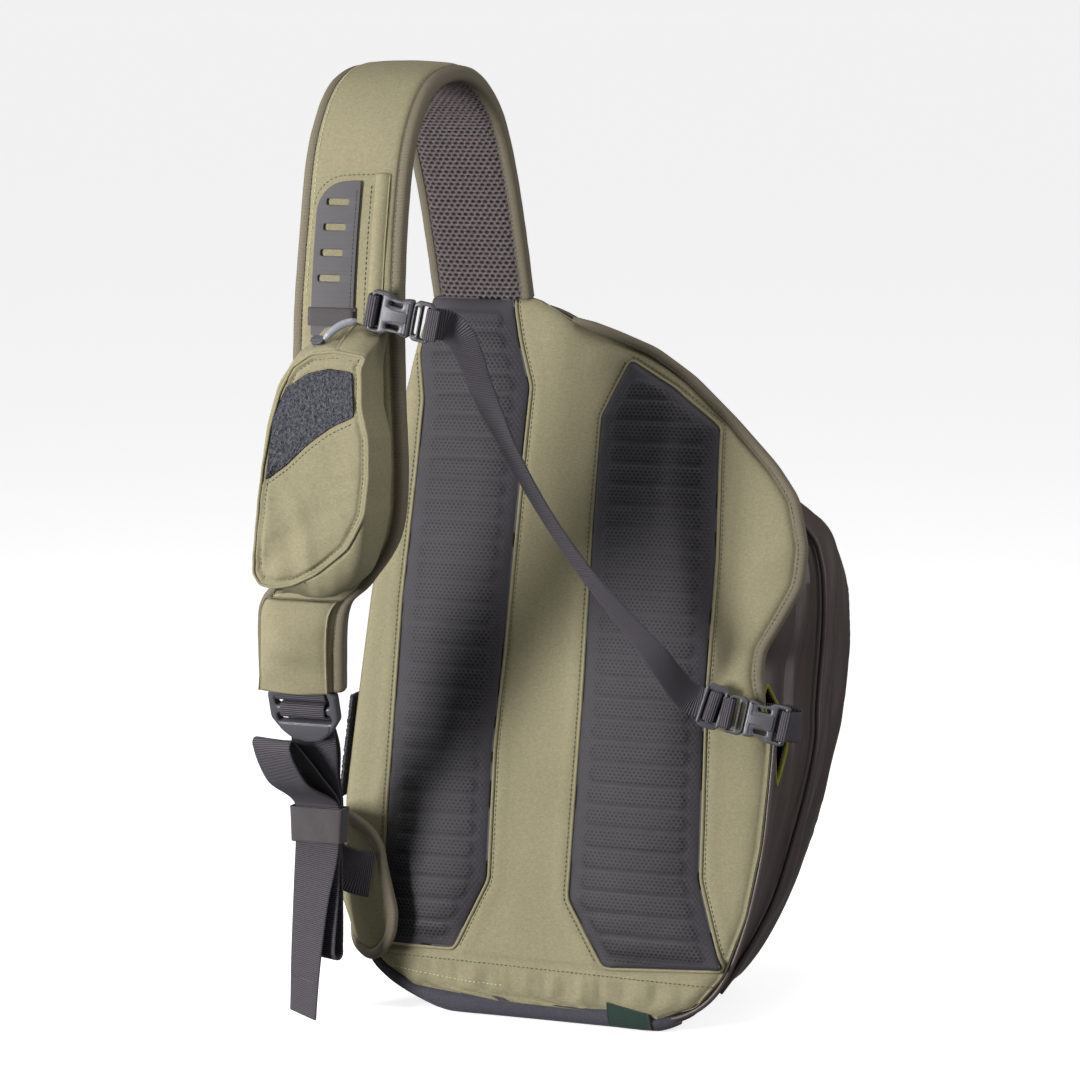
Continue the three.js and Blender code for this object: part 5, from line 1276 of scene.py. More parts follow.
side, out = framesAlong(centre, np.tile(panelOut, (len(centre), 1)))
cord = roundSection(cordLook["wide"], cordLook["wide"], 1.7, 4, 2)
dress(tubePiece("gusset_piping", swept(centre, side, out, cord)), "brown", "coated_cloth")

# Loop pile on the left gusset
pileLook = {"low": 131, "high": 197, "wide": 17, "nap": 2.5, "rough": 0.5, "bulge": 4.2, "forward": 6.5}
leftRows = table[-9:, 2:4] * bagSize


def gussetEdge(up):
    return np.interp(up, leftRows[:, 1], leftRows[:, 0])


def pilePoint(up, along, lift):  # bulges out beside the panel's edge, then runs back over the gusset
    near = bagPlace(gussetEdge(up), up, np.zeros_like(up), 1, 1, 1)
    far = bagPlace(gussetEdge(up) - 0.018 * size["width"], up, np.full_like(up, 0.12), 1, 1, 1)
    way = far - near
    way /= np.linalg.norm(way, axis=-1, keepdims=True)
    out = np.array([-1.0, 0, 0]) + way * way[..., :1]
    out /= np.linalg.norm(out, axis=-1, keepdims=True)
    swell = ramp(1 - along / pileLook["wide"]) ** 0.7
    seat = near + way * along[..., None] + out * (lift + pileLook["bulge"] * swell)[..., None]
    return seat + np.array([0, -1.0, 0]) * (pileLook["forward"] * swell)[..., None]


pileUp, pileAlong = np.linspace(pileLook["low"], pileLook["high"], 84), np.linspace(1, pileLook["wide"], 24)
up, along = np.meshgrid(pileUp, pileAlong, indexing="ij")
lift = pileLook["nap"] + pileLook["rough"] * rng.uniform(-1, 1, up.shape)
front = lambda a, b, c: pilePoint(np.asarray(b), np.asarray(a), np.asarray(c))
dress(
    slabPiece("gusset_pile", along, up, lift, front, [(0.3, 1.6), (0.2, 0.9), (0, 0.5)]), "pile", "loop_pile",
    "pile_strip"
)

# Label at the foot
u, v = np.meshgrid(np.linspace(0, 1, 26), np.linspace(0, 1, 12), indexing="ij")
labelLook = {"left": 40.0, "long": 28, "low": 1.4, "high": 15.5, "fall": 5}
a = labelLook["left"] + labelLook["long"] * u - 2 * v
b = (labelLook["low"] - 0.4 * u) * (1 - v) + (labelLook["high"] - labelLook["fall"] * u) * v
onRoll = np.interp(b, [0.5, 2, 4, 6, 10], [8.6, 9.9, 10.7, 11.2, 11.8])
dress(
    slabPiece("side_label", a, b, onRoll + 0.4 * np.sin(u * 3.1), onPanel, [(0.1, 8.4), (0, 8.0)]), "label",
    "label_cloth", "foot_label"
)
print("bag body done")

# Shoulder strap
strapLook = {
    "steps": 200, "crown": 1.4, "binding": 7.6, "edge": 9.6, "corner": 3.3, "underBinding": 4.0, "uneven": 0.3,
    "edgeUneven": 0.18, "edgeCorner": 3.2, "stitchInside": 1.7, "fill": 0.6,
}
at = np.linspace(0, len(strapRows) - 1, strapLook["steps"])
centre, side, out, wide = strapFrames(at)
coreWide = wide - 2 * (strapLook["binding"] + size["gap"])


def strapSections(width, height, corner, crown):
    rings = []
    for w in width:
        ring = roundSection(w, height, corner, 4, 18)
        face = ring[:, 1] > height / 2 - 0.01
        share = ramp(1 - (2 * ring[:, 0] / w) ** 2)
        ring[:, 1] += np.where(face, crown * share, 0)
        rings.append(ring)
    return np.array(rings)


sections = strapSections(
    coreWide + strapLook["underBinding"], size["foam"], strapLook["corner"], strapLook["crown"]
)
core = tubePiece("strap_cloth", sweepPoints(centre, side, out, sections))
pushAlongNormals(core, strapLook["uneven"] * softNoise(vertexPoints(core), 30.0, 13, 3))
dress(core, "olive", "olive_cloth", "shoulder_strap")

# Air mesh lining, with its holes in the mesh itself
airLook = {
    "along": 780, "across": 100, "pitch": (4.2, 6.0), "hole": 1.25, "steep": 1.8, "deep": 1.3, "edgeRise": 2.0
}
run = np.linspace(0, stepLengths[-1], airLook["along"])
atRun = np.interp(run, stepLengths, stepRows)
centreL, sideL, outL, wideL = strapFrames(atRun)
half = (wideL - 2 * strapLook["binding"]) / 2 + 1.6
m = airLook["across"]
s = np.linspace(-1, 1, m)[None] * half[:, None]
pitchX, pitchY = airLook["pitch"]
rowIndex = np.floor(run / (pitchY / 2))
x = (s + (rowIndex % 2)[:, None] * pitchX / 2) % pitchX - pitchX / 2
y = (run % (pitchY / 2) - pitchY / 4)[:, None] * np.ones_like(s)
hole = ramp((airLook["hole"] - np.hypot(x / 1.45, y)) * airLook["steep"])
hole *= ramp((half[:, None] - np.abs(s)) / 2)
edgeRise = airLook["edgeRise"] * (np.abs(s) / half[:, None]) ** 8
below = -(size["foam"] / 2 + size["gap"] + size["mesh"]) + airLook["deep"] * hole + edgeRise
face = centreL[:, None] + sideL[:, None] * s[..., None] + outL[:, None] * below[..., None]
backFace = (
    centreL[:, None] + sideL[:, None] * s[:, ::12, None] + outL[:, None] * (-(size["foam"] / 2 + size["gap"]))
)
loop = np.concatenate([face, backFace[:, ::-1]], 1)
lining = tubePiece("strap_air_mesh", loop)
values = np.zeros(loop.shape[:2])
values[:, :m] = hole
markHoles(lining, values)
dress(lining, "air", "air_mesh", "strap_lining")

bindRuns = []
for hand, name in ((-1, "left"), (1, "right")):
    thick = strapLook["edge"]
    dropBy = -(size["mesh"] + size["gap"]) / 2
    ring = roundSection(strapLook["binding"], thick, strapLook["edgeCorner"], 5, 5)
    sections = np.tile(ring, (len(at), 1, 1))
    sections[..., 0] += (hand * (wide - strapLook["binding"]) / 2)[:, None]
    sections[..., 1] += dropBy
    piece = tubePiece("strap_edge_" + name, sweepPoints(centre, side, out, sections))
    pushAlongNormals(piece, strapLook["edgeUneven"] * softNoise(vertexPoints(piece), 18.0, 19, 3))
    dress(piece, "taupe", "taupe_binding", "strap_binding_" + name)
    for level, away in ((thick / 2 + dropBy + 0.05, 1), (-thick / 2 + dropBy - 0.05, -1)):
        line = (
            centre + side * (hand * (wide / 2 - strapLook["binding"] + strapLook["stitchInside"]))[:, None]
            + out * level
        )
        bindRuns.append((resample(line[2:-2], 1.5), away))
lines = []
for line, away in bindRuns:
    lengths = np.linspace(0, 1, len(line))
    n = np.stack(
        [np.interp(lengths, np.linspace(0, 1, len(out) - 4), out[2:-2, k]) for k in range(3)], -1
    ) * away
    lines.append((line, n))
dress(threadPiece("strap_edge_stitches", lines), "taupeThread", "taupe_binding")


def strapSpot(across, up, lift=0.0):  # on the strap's outer cloth, which is crowned
    across, up = np.broadcast_arrays(np.asarray(across, float), np.asarray(up, float))
    w = np.interp(np.interp(up, stepLengths, stepRows), at, coreWide + 2)
    crown = strapLook["crown"] * ramp(1 - (2 * across / w) ** 2)
    return onStrap(across, up, crown + lift)


# Ladder strip with its slots
ladder = {
    "long": 91, "wide": 28, "foot": 225, "left": -21.5, "head": 12.5, "pitch": 14.9, "slot": (14.5, 4.0),
    "slots": 4,
    "slotMiddle": 0.49, "slotShift": 0.9, "bend": 18.5, "thick": 1.4, "rounded": 0.5, "lift": 0.35,
    "stitchInside": 2.4,
}


def bentPlate(name, outline, holes, thickness, bevel, place, low, cuts, soft=0.6):
    points, faces = mouldedPlate(outline, holes, thickness, bevel, 0, soft)
    obj = addMesh(name, points, faces)
    work = bmesh.new()
    work.from_mesh(obj.data)
    bmesh.ops.remove_doubles(work, verts=work.verts, dist=0.00001)
    for cutAt in cuts:
        geometry = work.verts[:] + work.edges[:] + work.faces[:]
        bmesh.ops.bisect_plane(work, geom=geometry, plane_co=(0, cutAt / 1000, 0), plane_no=(0, 1, 0))
    work.to_mesh(obj.data)
    work.free()
    p = vertexPoints(obj)
    q = place(p[:, 0], p[:, 1], p[:, 2] + thickness / 2 + low)
    obj.data.vertices.foreach_set("co", (q / 1000).ravel())
    layer = obj.data.uv_layers.new(name="cloth")
    index = np.array([l.vertex_index for l in obj.data.loops])
    layer.data.foreach_set("uv", (p[index, :2] / 1000).astype(np.float32).ravel())
    obj.data.update()
    turnOut(obj.data)
    obj.data.set_sharp_from_angle(angle=math.radians(40))
    return obj


top = ladder["foot"] + ladder["long"]
right = ladder["left"] + ladder["wide"]
r = ladder["bend"]
turns = np.linspace(0, math.pi / 2, 10)
bend = [(ladder["left"] + r * (1 - math.cos(t)), top - r * (1 - math.sin(t)) - 0.4) for t in turns]
outline = [(ladder["left"], ladder["foot"]), *bend, (right, top), (right, ladder["foot"])]
holes = []
for k in range(ladder["slots"]):
    x = ladder["left"] + ladder["wide"] * ladder["slotMiddle"] - ladder["slotShift"] * k
    y = top - ladder["head"] - k * ladder["pitch"]
    hx, hy = ladder["slot"][0] / 2, ladder["slot"][1] / 2
    holes.append([(x - hx, y - hy), (x + hx, y - hy), (x + hx, y + hy), (x - hx, y + hy)])
cuts = np.arange(ladder["foot"] + 2, top, 3.0)
strip = bentPlate(
    "slotted_strip", outline, holes, ladder["thick"], ladder["rounded"], strapSpot, ladder["lift"], cuts, 0.9
)
dress(strip, "laminate", "laminate", "tool_ladder")
down = np.linspace(ladder["foot"] + 14, top - 3, 60)
inside = np.full(60, right - ladder["stitchInside"])
line = strapSpot(inside, down, ladder["thick"] + 0.4)
dress(threadPiece("strip_stitches", [(line, normalsOf(strapSpot, inside, down))]), "greyThread", "laminate")

# The band across it
bandLook = {"up": 6, "long": 31.0, "wide": 10.5, "height": 3.3, "wave": 0.25, "endDrop": 1.9}
s, t = np.meshgrid(np.linspace(0, 1, 30), np.linspace(0, 1, 12), indexing="ij")
bandU = ladder["left"] - 2 + bandLook["long"] * s
bandV = ladder["foot"] + bandLook["up"] + bandLook["wide"] * t
bandW = (
    bandLook["height"] + bandLook["wave"] * np.sin(t * 6 + s) - bandLook["endDrop"] * np.abs(2 * s - 1) ** 14
)
dress(
    slabPiece("strip_band", bandU, bandV, bandW, strapSpot, [(0.15, 1.2), (0.1, 0.8), (0, 0.5)]), "tape",
    "webbing", "ladder_band"
)

# Zip flap: a soft fold over the zip
flapLook = {"left": 15, "wide": 9.2, "below": 4, "above": 100, "seat": 0.4, "height": 3.0, "uneven": 0.25}
flapV = np.linspace(pouchTop - flapLook["below"], pouchTop + flapLook["above"], 90)
flapV, share = np.meshgrid(flapV, np.linspace(0, 1, 14), indexing="ij")
flapU = flapLook["left"] + flapLook["wide"] * share
flapW = flapLook["seat"] + flapLook["height"] * np.sin(np.clip(share, 0.02, 0.98) * math.pi) ** 0.55
flapW += flapLook["uneven"] * softNoise((share * 4, flapV * 0.3), 6.0, 4, 2)
dress(slabPiece("zip_fold", flapU, flapV, flapW, strapSpot, [(0, 0.2)]), "olive", "olive_cloth", "zip_flap")

# Seams on the strap's face
down = np.linspace(pouchTop + 2, top - 1, 90)
seamLook = {"besideFlap": 12.6, "wide": 46, "fall": 17, "cornerShare": 0.42, "slope": 2.0, "edgeInside": 1.6}
seamRun = lambda u, v: (strapSpot(u, v, 0.12), normalsOf(strapSpot, u, v))
turn = np.linspace(0, 1, 80)
seamU = ladder["left"] - 2.2 + seamLook["wide"] * turn
bow = 1 - np.sqrt(ramp(1 - (1 - ramp(turn / seamLook["cornerShare"])) ** 2))
seamV = top + 2.4 - seamLook["fall"] * bow + seamLook["slope"] * turn
runs = [seamRun(np.full(90, seamLook["besideFlap"]), down), seamRun(seamU, seamV)]
dress(threadPiece("strap_face_stitches", runs), "darkThread", "olive_cloth")
along = np.linspace(250, stepLengths[-1] - 8, 400)
edge = np.interp(np.interp(along, stepLengths, stepRows), at, coreWide) / 2 - seamLook["edgeInside"]
dress(threadPiece("strap_long_stitches", [seamRun(-edge, along)]), "lightThread", "olive_cloth")

# Cover over the strap's lower end
endLook = {
    "foot": -5.2, "long": 69.6, "bow": 1.2, "left": 6.5, "side": 2.2, "height": 4.6, "swell": 0.35, "folds": 2.2
}
s, t = np.meshgrid(np.linspace(0, 1, 40), np.linspace(0, 1, 44), indexing="ij")
bow = endLook["bow"] * np.sin(t * math.pi)
endV = endLook["foot"] - bow + (endLook["long"] + bow) * s
endHalf = np.interp(np.interp(endV, stepLengths, stepRows), at, coreWide) / 2
endLeft = -endHalf - endLook["left"] + 1.8 * s + endLook["side"] * np.sin(s * math.pi) * (1 - t)
endU = endLeft + (2 * endHalf + 5.6 - 3.2 * s) * t
arch = ramp(np.sin(math.pi * np.clip(t, 0.02, 0.98))) ** 0.45 * (1 - np.exp(-s * 14)) ** 0.6
endW = size["proud"] + 0.3 + endLook["height"] * (1 + endLook["swell"] * np.sin(math.pi * s)) * arch
crumple = softNoise((endU * 0.7 + endV * 0.3, endV * 1.1), 26.0, 6, 2)
endW += endLook["folds"] * crumple * np.sin(math.pi * t) ** 0.5
endCover = slabPiece("strap_foot_cloth", endU, endV, endW, onStrap, [(0.3, 2.4), (0.2, 1.8), (0, 1.5)])
dress(endCover, "olive", "olive_cloth", "strap_end_cover")
print("strap done")

# Pouch
pouchLook = {
    "grid": 1.3, "fold": 1.5, "hollow": 1.1, "drape": 1.8, "uneven": 0.5, "edgeGroove": 1.6, "patchBed": 1.6,
    "crinkle": 1.7, "stitchInside": 4.0, "middle": (-4.0, 142.0), "flare": 14, "seam": 1.9,
}


def pouchSized(rows):
    return np.array(rows) * [size["pouchWidth"], size["pouchLength"]] + [0, size["pouchFoot"]]


pouchLine = resample(pouchSized(pouchRows), 1.4, True, 1.4)
faceCorners = [
    (28, 216), (24.6, 209), (25.2, 186), (29.6, 168), (30.4, 147), (29.6, 124), (22.5, 103), (8.0, 86),
    (-3, 79),
    (-14, 76.5), (-24, 78), (-32, 85), (-36.5, 96), (-39.3, 112), (-40, 130), (-38.5, 150), (-34.5, 172),
    (-28, 194),
    (-20, 209), (-8, 217), (8, 219),
]
pouchFace = resample(np.array(faceCorners, float), 1.4, True, 1.1)
patchLine = resample(pouchSized(patchRows), 0.9, True, 0.8)


def pouchHeight(u, v):
    look = pouchLook
    d = edgeDistance(u, v, pouchFace)
    h = size["pouchDepth"] - 1.0 + 1.2 * (1 - np.exp(-d / 2.0))
    h -= look["edgeGroove"] * np.exp(-((d - look["stitchInside"]) / 1.0) ** 2)
    p = edgeDistance(u, v, patchLine)
    p = np.where(insideOf(u, v, patchLine), -p, p)
    h -= look["patchBed"] / (1 + np.exp((p - 0.4) * 2.2)) + 0.5 * np.exp(-((p - 2.4) / 1.0) ** 2)
    # one slanting fold with a hollow under it, and soft pulls towards the foot
    lower = ramp((size["pouchFoot"] + 100 - v) / 60)
    fold = (u * 0.55 + (v - 120) * 0.28 + 6) / 3.4
    h += look["fold"] * np.exp(-fold**2) * ramp((150 - v) / 40) * ramp(d / 6)
    h -= look["hollow"] * np.exp(-((fold + 2.2) ** 2)) * ramp((145 - v) / 40) * ramp(d / 6)
    drape = softNoise((u * 0.9 - v * 0.25, v * 0.4 + u * 0.2), 30.0, 21, 2)
    h += look["drape"] * lower * drape * ramp(d / 8)
    h += look["uneven"] * softNoise((u, v), 17.0, 33, 3) * ramp(d / 5)
    return h


pouchMiddle = np.array(pouchLook["middle"])


def toOutline(edge):  # the way from each spot of the face's edge to the pouch's outline
    angle = lambda flat: np.arctan2((flat - pouchMiddle)[:, 1] / 2, (flat - pouchMiddle)[:, 0])
    a = angle(pouchLine)
    order = np.argsort(a)
    reach = np.hypot((pouchLine - pouchMiddle)[:, 0], (pouchLine - pouchMiddle)[:, 1])
    b = angle(edge)
    r = np.interp(b, a[order], reach[order], period=2 * math.pi)
    here = np.hypot((edge - pouchMiddle)[:, 0], (edge - pouchMiddle)[:, 1])
    grow = np.maximum(blurred(r / here, 3.0, True), 1.0)
    way = (edge - pouchMiddle) * (grow - 1)[:, None]
    way[:, 1] += pouchLook["flare"] * topShare(edge)
    return way


def topShare(edge):
    return ramp((edge[:, 1] - 203) / 12) ** 1.2


u, v = ladderGrid(pouchFace, pouchLook["grid"], pouchLook["grid"])
# share of the way to the outline at the sides and at the top, and the level
rimRows = [
    (0.22, 0.06, 28.6), (0.55, 0.16, 26.4), (0.82, 0.3, 22.8), (0.97, 0.46, 18.0), (1.0, 0.62, 13.0),
    (0.96, 0.76, 8.6), (0.88, 0.88, 5.0), (0.72, 0.96, 2.2), (0.5, 0.97, 0.5), (0.4, 0.9, 0.0),
]
rimShare = lambda side, top: lambda edge: (side + (top - side) * topShare(edge))[:, None]
rim = [(rimShare(side, top), level) for side, top, level in rimRows]
pouch = slabPiece("strap_pouch", u, v, pouchHeight(u, v), onPouch, rim, ways=toOutline)
points = vertexPoints(pouch)
onFace = np.zeros(len(points), bool)
onFace[: u.size] = True
crinkle = softNoise(points * np.array([1, 1, 0.35]), 22.0, 51, 3)
pushAlongNormals(pouch, np.where(onFace, 0, pouchLook["crinkle"] * crinkle))
dress(pouch, "olive", "olive_cloth", "pouch")

u, v = ladderGrid(patchLine, 0.95, 0.95)
napLook = {"height": 0.5, "rough": 0.45, "skirt": [(0.2, 29.8), (0.1, 29.0), (0, 28.2)]}
nap = rng.uniform(-1, 1, u.shape) * ramp(edgeDistance(u, v, patchLine))
h = size["pouchDepth"] + napLook["height"] + napLook["rough"] * nap
dress(slabPiece("pouch_pile", u, v, h, onPouch, napLook["skirt"]), "pile", "loop_pile", "pile_patch")


def pouchSpot(u, v, lift=0.0):
    return onPouch(u, v, pouchHeight(u, v) + lift)


def pouchRun(flat, lift):  # a row of stitches on the pouch's face
    return pouchSpot(flat[:, 0], flat[:, 1], lift), normalsOf(pouchSpot, flat[:, 0], flat[:, 1])


around = resample(inset(pouchFace, pouchLook["stitchInside"]), 1.2, True, 0.8)
patchSeam = [(-0.49, 0.47), (-0.32, 0.525), (-0.127, 0.608), (0.06, 0.675), (0.275, 0.722)]
curve = resample(pouchSized(patchSeam), 1.0, False, 3.0)
dress(
    threadPiece("pouch_stitches", [pouchRun(around, 0.1), pouchRun(curve, 0.15)]), "darkThread", "olive_cloth"
)
s = np.linspace(0, 1, 30)
corner = onPouch(2 + 9.0 * s, 82 - 9.5 * s, 28.6 - 13 * s**1.4)
cornerOut = np.tile(unit(0.5, -0.8, -0.5), (30, 1))
dress(
    threadPiece("pouch_corner_stitches", [(corner + cornerOut * 0.8, cornerOut)]), "darkThread", "olive_cloth"
)
cord = resample(inset(pouchFace, 0.3), 1.5, True, 1.0)
centre = onPouch(cord[:, 0], cord[:, 1], np.full(len(cord), size["pouchDepth"] - 0.4))
side, out = framesAlong(centre, np.tile([0.0, -1, 0], (len(centre), 1)), True)
ring = roundSection(pouchLook["seam"], pouchLook["seam"], 0.9, 3, 2)
dress(tubePiece("pouch_seam", swept(centre, side, out, ring), True), "olive", "olive_cloth")
print("pouch done")


# Webs
webSize = {"side": 19, "main": 30, "thick": 1.6}


def stationsAt(place, spots, turn=1):  # spots along and out of a buckle, as stations of a web
    side = unit(*np.cross(place["out"], place["along"])) * turn
    away = unit(*np.cross(place["along"], side)) * turn
    return [(place["at"] + place["along"] * x + away * z, side) for x, z in spots]


def smoothRun(points, sides, each=14):  # an even curve through stations of a web
    p = np.vstack([2 * points[0] - points[1], points, 2 * points[-1] - points[-2]])
    s = np.vstack([sides[0], sides, sides[-1]])
    q = np.hstack([p, s])
    line = []
    for k in range(1, len(p) - 2):
        gaps = [max(np.linalg.norm(p[k + j] - p[k + j - 1]), 0.05) ** 0.5 for j in (0, 1, 2)]
        knots = np.concatenate([[0], np.cumsum(gaps)])
        t = np.linspace(knots[1], knots[2], each, endpoint=False)[:, None]
        blend = lambda a, b, x, y: a * (y - t) / (y - x) + b * (t - x) / (y - x)
        a = [blend(q[k + j - 1], q[k + j], knots[j], knots[j + 1]) for j in (0, 1, 2)]
        b = [blend(a[j], a[j + 1], knots[j], knots[j + 2]) for j in (0, 1)]
        line.append(blend(b[0], b[1], knots[1], knots[2]))
    line = np.vstack([*line, q[-2:-1]])
    return line[:, :3], line[:, 3:]


def ribbonPiece(name, node, stations, width, ring=False, step=1.0, soft=1.0, wide=None):  # a piece of webbing
    points, sides = np.array([s[0] for s in stations]), np.array([s[1] for s in stations], float)
    if not ring:
        points, sides = smoothRun(points, sides)
    points, sides = resample(points, step, ring, soft, sides)
    side, out = framesAlong(points, sides, ring)
    thick = webSize["thick"]
    section = roundSection(width, thick, min(0.7, thick * 0.42), 3, 12)
    face = 1 - 0.10 * (np.abs(2 * section[:, 0] / width) > 0.9)
    section[:, 1] *= face
    sections = np.tile(section, (len(points), 1, 1))
    if wide is not None:
        sections[..., 0] *= np.interp(np.linspace(0, 1, len(points)), *wide)[:, None]
    dress(tubePiece(name, sweepPoints(points, side, out, sections), ring), "web", "webbing", node)


plugSize = {"long": 13, "thick": 5.4, "near": -0.9, "far": 3.7}
socketSize = {"long": 26, "thick": 7, "wide": 25, "near": -10.2, "far": -6.2}
sideWeb, mainWide, webThick, gap = webSize["side"], webSize["main"], webSize["thick"], size["gap"]
upperPlace = {
    "at": onStrap(34.1, pouchTop + 19.2, 3 + 6.65), "along": unit(1, 0.12, -0.22), "out": unit(0, -1, -0.05)
}
lowerPlace = {
    "at": onPanel(slit["edge"] + 7, slit["up"] - 0.2, size["panel"] + 6.8), "along": unit(-1, -0.14, 0.2),
    "out": panelOut
}
sliderPlace = {
    "at": onPanel(slit["edge"] - 27.5, slit["up"] + 7.3, size["panel"] + size["pad"] + 2.5),
    "along": unit(1, 0.3, -0.33), "out": panelOut
}
plugAway = socketSize["long"] / 2 + plugSize["long"] / 2 + gap
plugPlace = lambda place: {**place, "at": place["at"] + place["along"] * plugAway}
# shares of the way from the upper buckle to the slider, and the web's side there
webRows = [
    (0.062, 0.014, 0.022, 0.62, -0.02, 0.78), (0.1, 0.058, 0.07, 0.9, 0.06, 0.4),
    (0.12, 0.158, 0.162, 0.96, 0, 0.2), (0.161, 0.285, 0.272, 0.65, -0.55, 0.45),
    (0.314, 0.46, 0.47, 0.62, -0.65, 0.35), (0.508, 0.608, 0.64, 0.62, -0.6, 0.4),
    (0.709, 0.722, 0.772, 0.62, -0.45, 0.6), (0.87, 0.796, 0.868, 0.55, -0.2, 0.8),
]
turnRound = plugSize["thick"] / 2 + gap + webThick / 2
slot = plugSize["far"] - gap - webThick / 2
topSpots = [
    (10, turnRound), (slot + 0.8, turnRound), (slot, turnRound - 0.9), (slot, -turnRound + 0.9),
    (slot + 0.8, -turnRound), (7, -turnRound - 0.5), (9, -turnRound - 1.4), (12.5, -turnRound - 3.4)
]
start = stationsAt(plugPlace(upperPlace), topSpots)
over, dip = 3, 3.1  # the web over the slider's middle bar, and down at its sides
atSlider = stationsAt(
    sliderPlace,
    [
        (-14, -over + 0.4), (-5.4, -over - 0.2), (-dip, -over + 1), (-dip, over - 1), (-dip + 1, over),
        (dip - 1, over), (dip, over - 1), (dip, -over + 1), (dip + 1, -over), (6.6, -over - 0.4)
    ]
)
footSpots = [
    (slot + 2.2, -turnRound), (slot, -turnRound + 0.9), (slot, turnRound - 0.9), (slot + 0.8, turnRound),
    (9, turnRound)
]
end = stationsAt(plugPlace(lowerPlace), footSpots, -1)
way = atSlider[0][0] - start[-1][0]
free = [(start[-1][0] + way * np.array(row[:3]), np.array(row[3:])) for row in webRows]
ribbonPiece(
    "stabiliser_ribbon", "stabiliser_web", start + free + atSlider + end, sideWeb, step=0.8, soft=0.7,
    wide=([0, 0.07, 0.16, 0.78, 0.86, 1], [1, 1, 0.84, 0.84, 1, 1])
)

bucklePass = socketSize["thick"] / 2 + gap + webThick / 2
low, bar, tabSlot = -bucklePass - 1.3, -socketSize["long"] / 2 - gap - 0.8, socketSize["near"] + gap + 0.8
tabSpots = [
    (-1, low), (bar + 0.8, low), (bar, low + 0.9), (bar, bucklePass - 0.9), (bar + 0.8, bucklePass),
    (tabSlot - 0.8, bucklePass), (tabSlot, bucklePass - 0.9), (tabSlot, low + 2.4)
]
ribbonPiece("upper_ribbon", "upper_tab", stationsAt(upperPlace, tabSpots), sideWeb, step=0.7, soft=0.6)
back = onPanel(slit["edge"], slit["up"])
back[1] += slit["tabBack"] + slit["tabWide"] - slit["lip"] - 2 * gap - webThick / 2
downward = np.array([0, -sinLean, -cosLean])
lowerRun = stationsAt(
    lowerPlace,
    [
        (tabSlot, -bucklePass), (tabSlot, bucklePass - 0.9), (tabSlot - 0.8, bucklePass),
        (bar + 0.8, bucklePass), (bar, bucklePass - 0.9), (bar, -bucklePass - 0.5)
    ]
)
lowerRun += [
    (np.array([slit["edge"] + x, back[1] + y, back[2] + z]), downward)
    for x, y, z in ((21.5, -9, -3), (19.5, -3, -2.5), (14, 0, -1.5), (7, 0, -0.5), (-12, 0, 0))
]
ribbonPiece("lower_ribbon", "lower_tab", lowerRun, sideWeb, step=0.7, soft=0.6)

# Main web, over the lock's middle bar and through the keeper
lockSize = {"wide": 46, "long": 36, "thick": 7, "top": 13, "upper": 6.5, "lower": 1.2, "foot": -4.3}
endAt, endSide, endOut, _ = (x[0] for x in strapFrames([len(strapRows) - 1]))
lockUp = np.cross(endOut, endSide)
lockUp = lockUp if lockUp[2] > 0 else -lockUp
lockAt = endAt - lockUp * (lockSize["long"] / 2 + webThick + 2 * gap)
keeperSize = {
    "fromLock": (-11, 41, -75.0), "half": 11, "wide": 32.6, "deep": 10.6, "wall": 1.3, "flare": 0.035,
    "dent": 0.35
}
keeperAt = lockAt + np.array(keeperSize["fromLock"])
lockAt = lockAt + lockUp * 2.0
lockPlace = {"at": lockAt, "along": lockUp, "out": endOut}
turned = lambda degrees: np.array([math.cos(math.radians(degrees)), math.sin(math.radians(degrees)), 0])
atLock = lambda up, out: (lockAt + lockUp * up + endOut * out, endSide)
atKeeper = lambda x, y, z, degrees=0: (keeperAt + np.array([x, y, z]), turned(degrees))
belowKeeper = lambda x, y, share, degrees: (
    np.array([keeperAt[0] + x, keeperAt[1] + y, keeperAt[2] * share]), turned(degrees)
)
wingSize = {"reach": 37, "turn": 22, "up": 81.5, "height": 91, "thick": 4, "binding": 6}


def onWing(at, share, out=0.0, clear=0.0):
    at, share, out = np.broadcast_arrays(
        np.asarray(at, float), np.asarray(share, float), np.asarray(out, float)
    )
    flat = at.ravel()
    last = len(wingRows) - 1
    path = lambda a: np.stack(
        [
            wingSize["reach"] * column(wingRows, a)[:, 0],
            -size["backFoot"] - wingSize["turn"] * column(wingRows, a)[:, 1]
        ],
        -1
    )
    here = path(flat)
    d = path(np.minimum(flat + 0.1, last)) - path(np.maximum(flat - 0.1, 0))
    d /= np.linalg.norm(d, axis=1, keepdims=True)
    rows = column(wingRows, flat)
    lowZ = wingSize["up"] + wingSize["height"] * rows[:, 2] + clear
    highZ = wingSize["up"] + wingSize["height"] * rows[:, 3] - clear
    up = lowZ + (highZ - lowZ) * share.ravel()
    o = out.ravel()
    return np.stack(
        [gussetEdge(up) + here[:, 0] + d[:, 1] * o, here[:, 1] - d[:, 0] * o, up], -1
    ).reshape(at.shape + (3,))


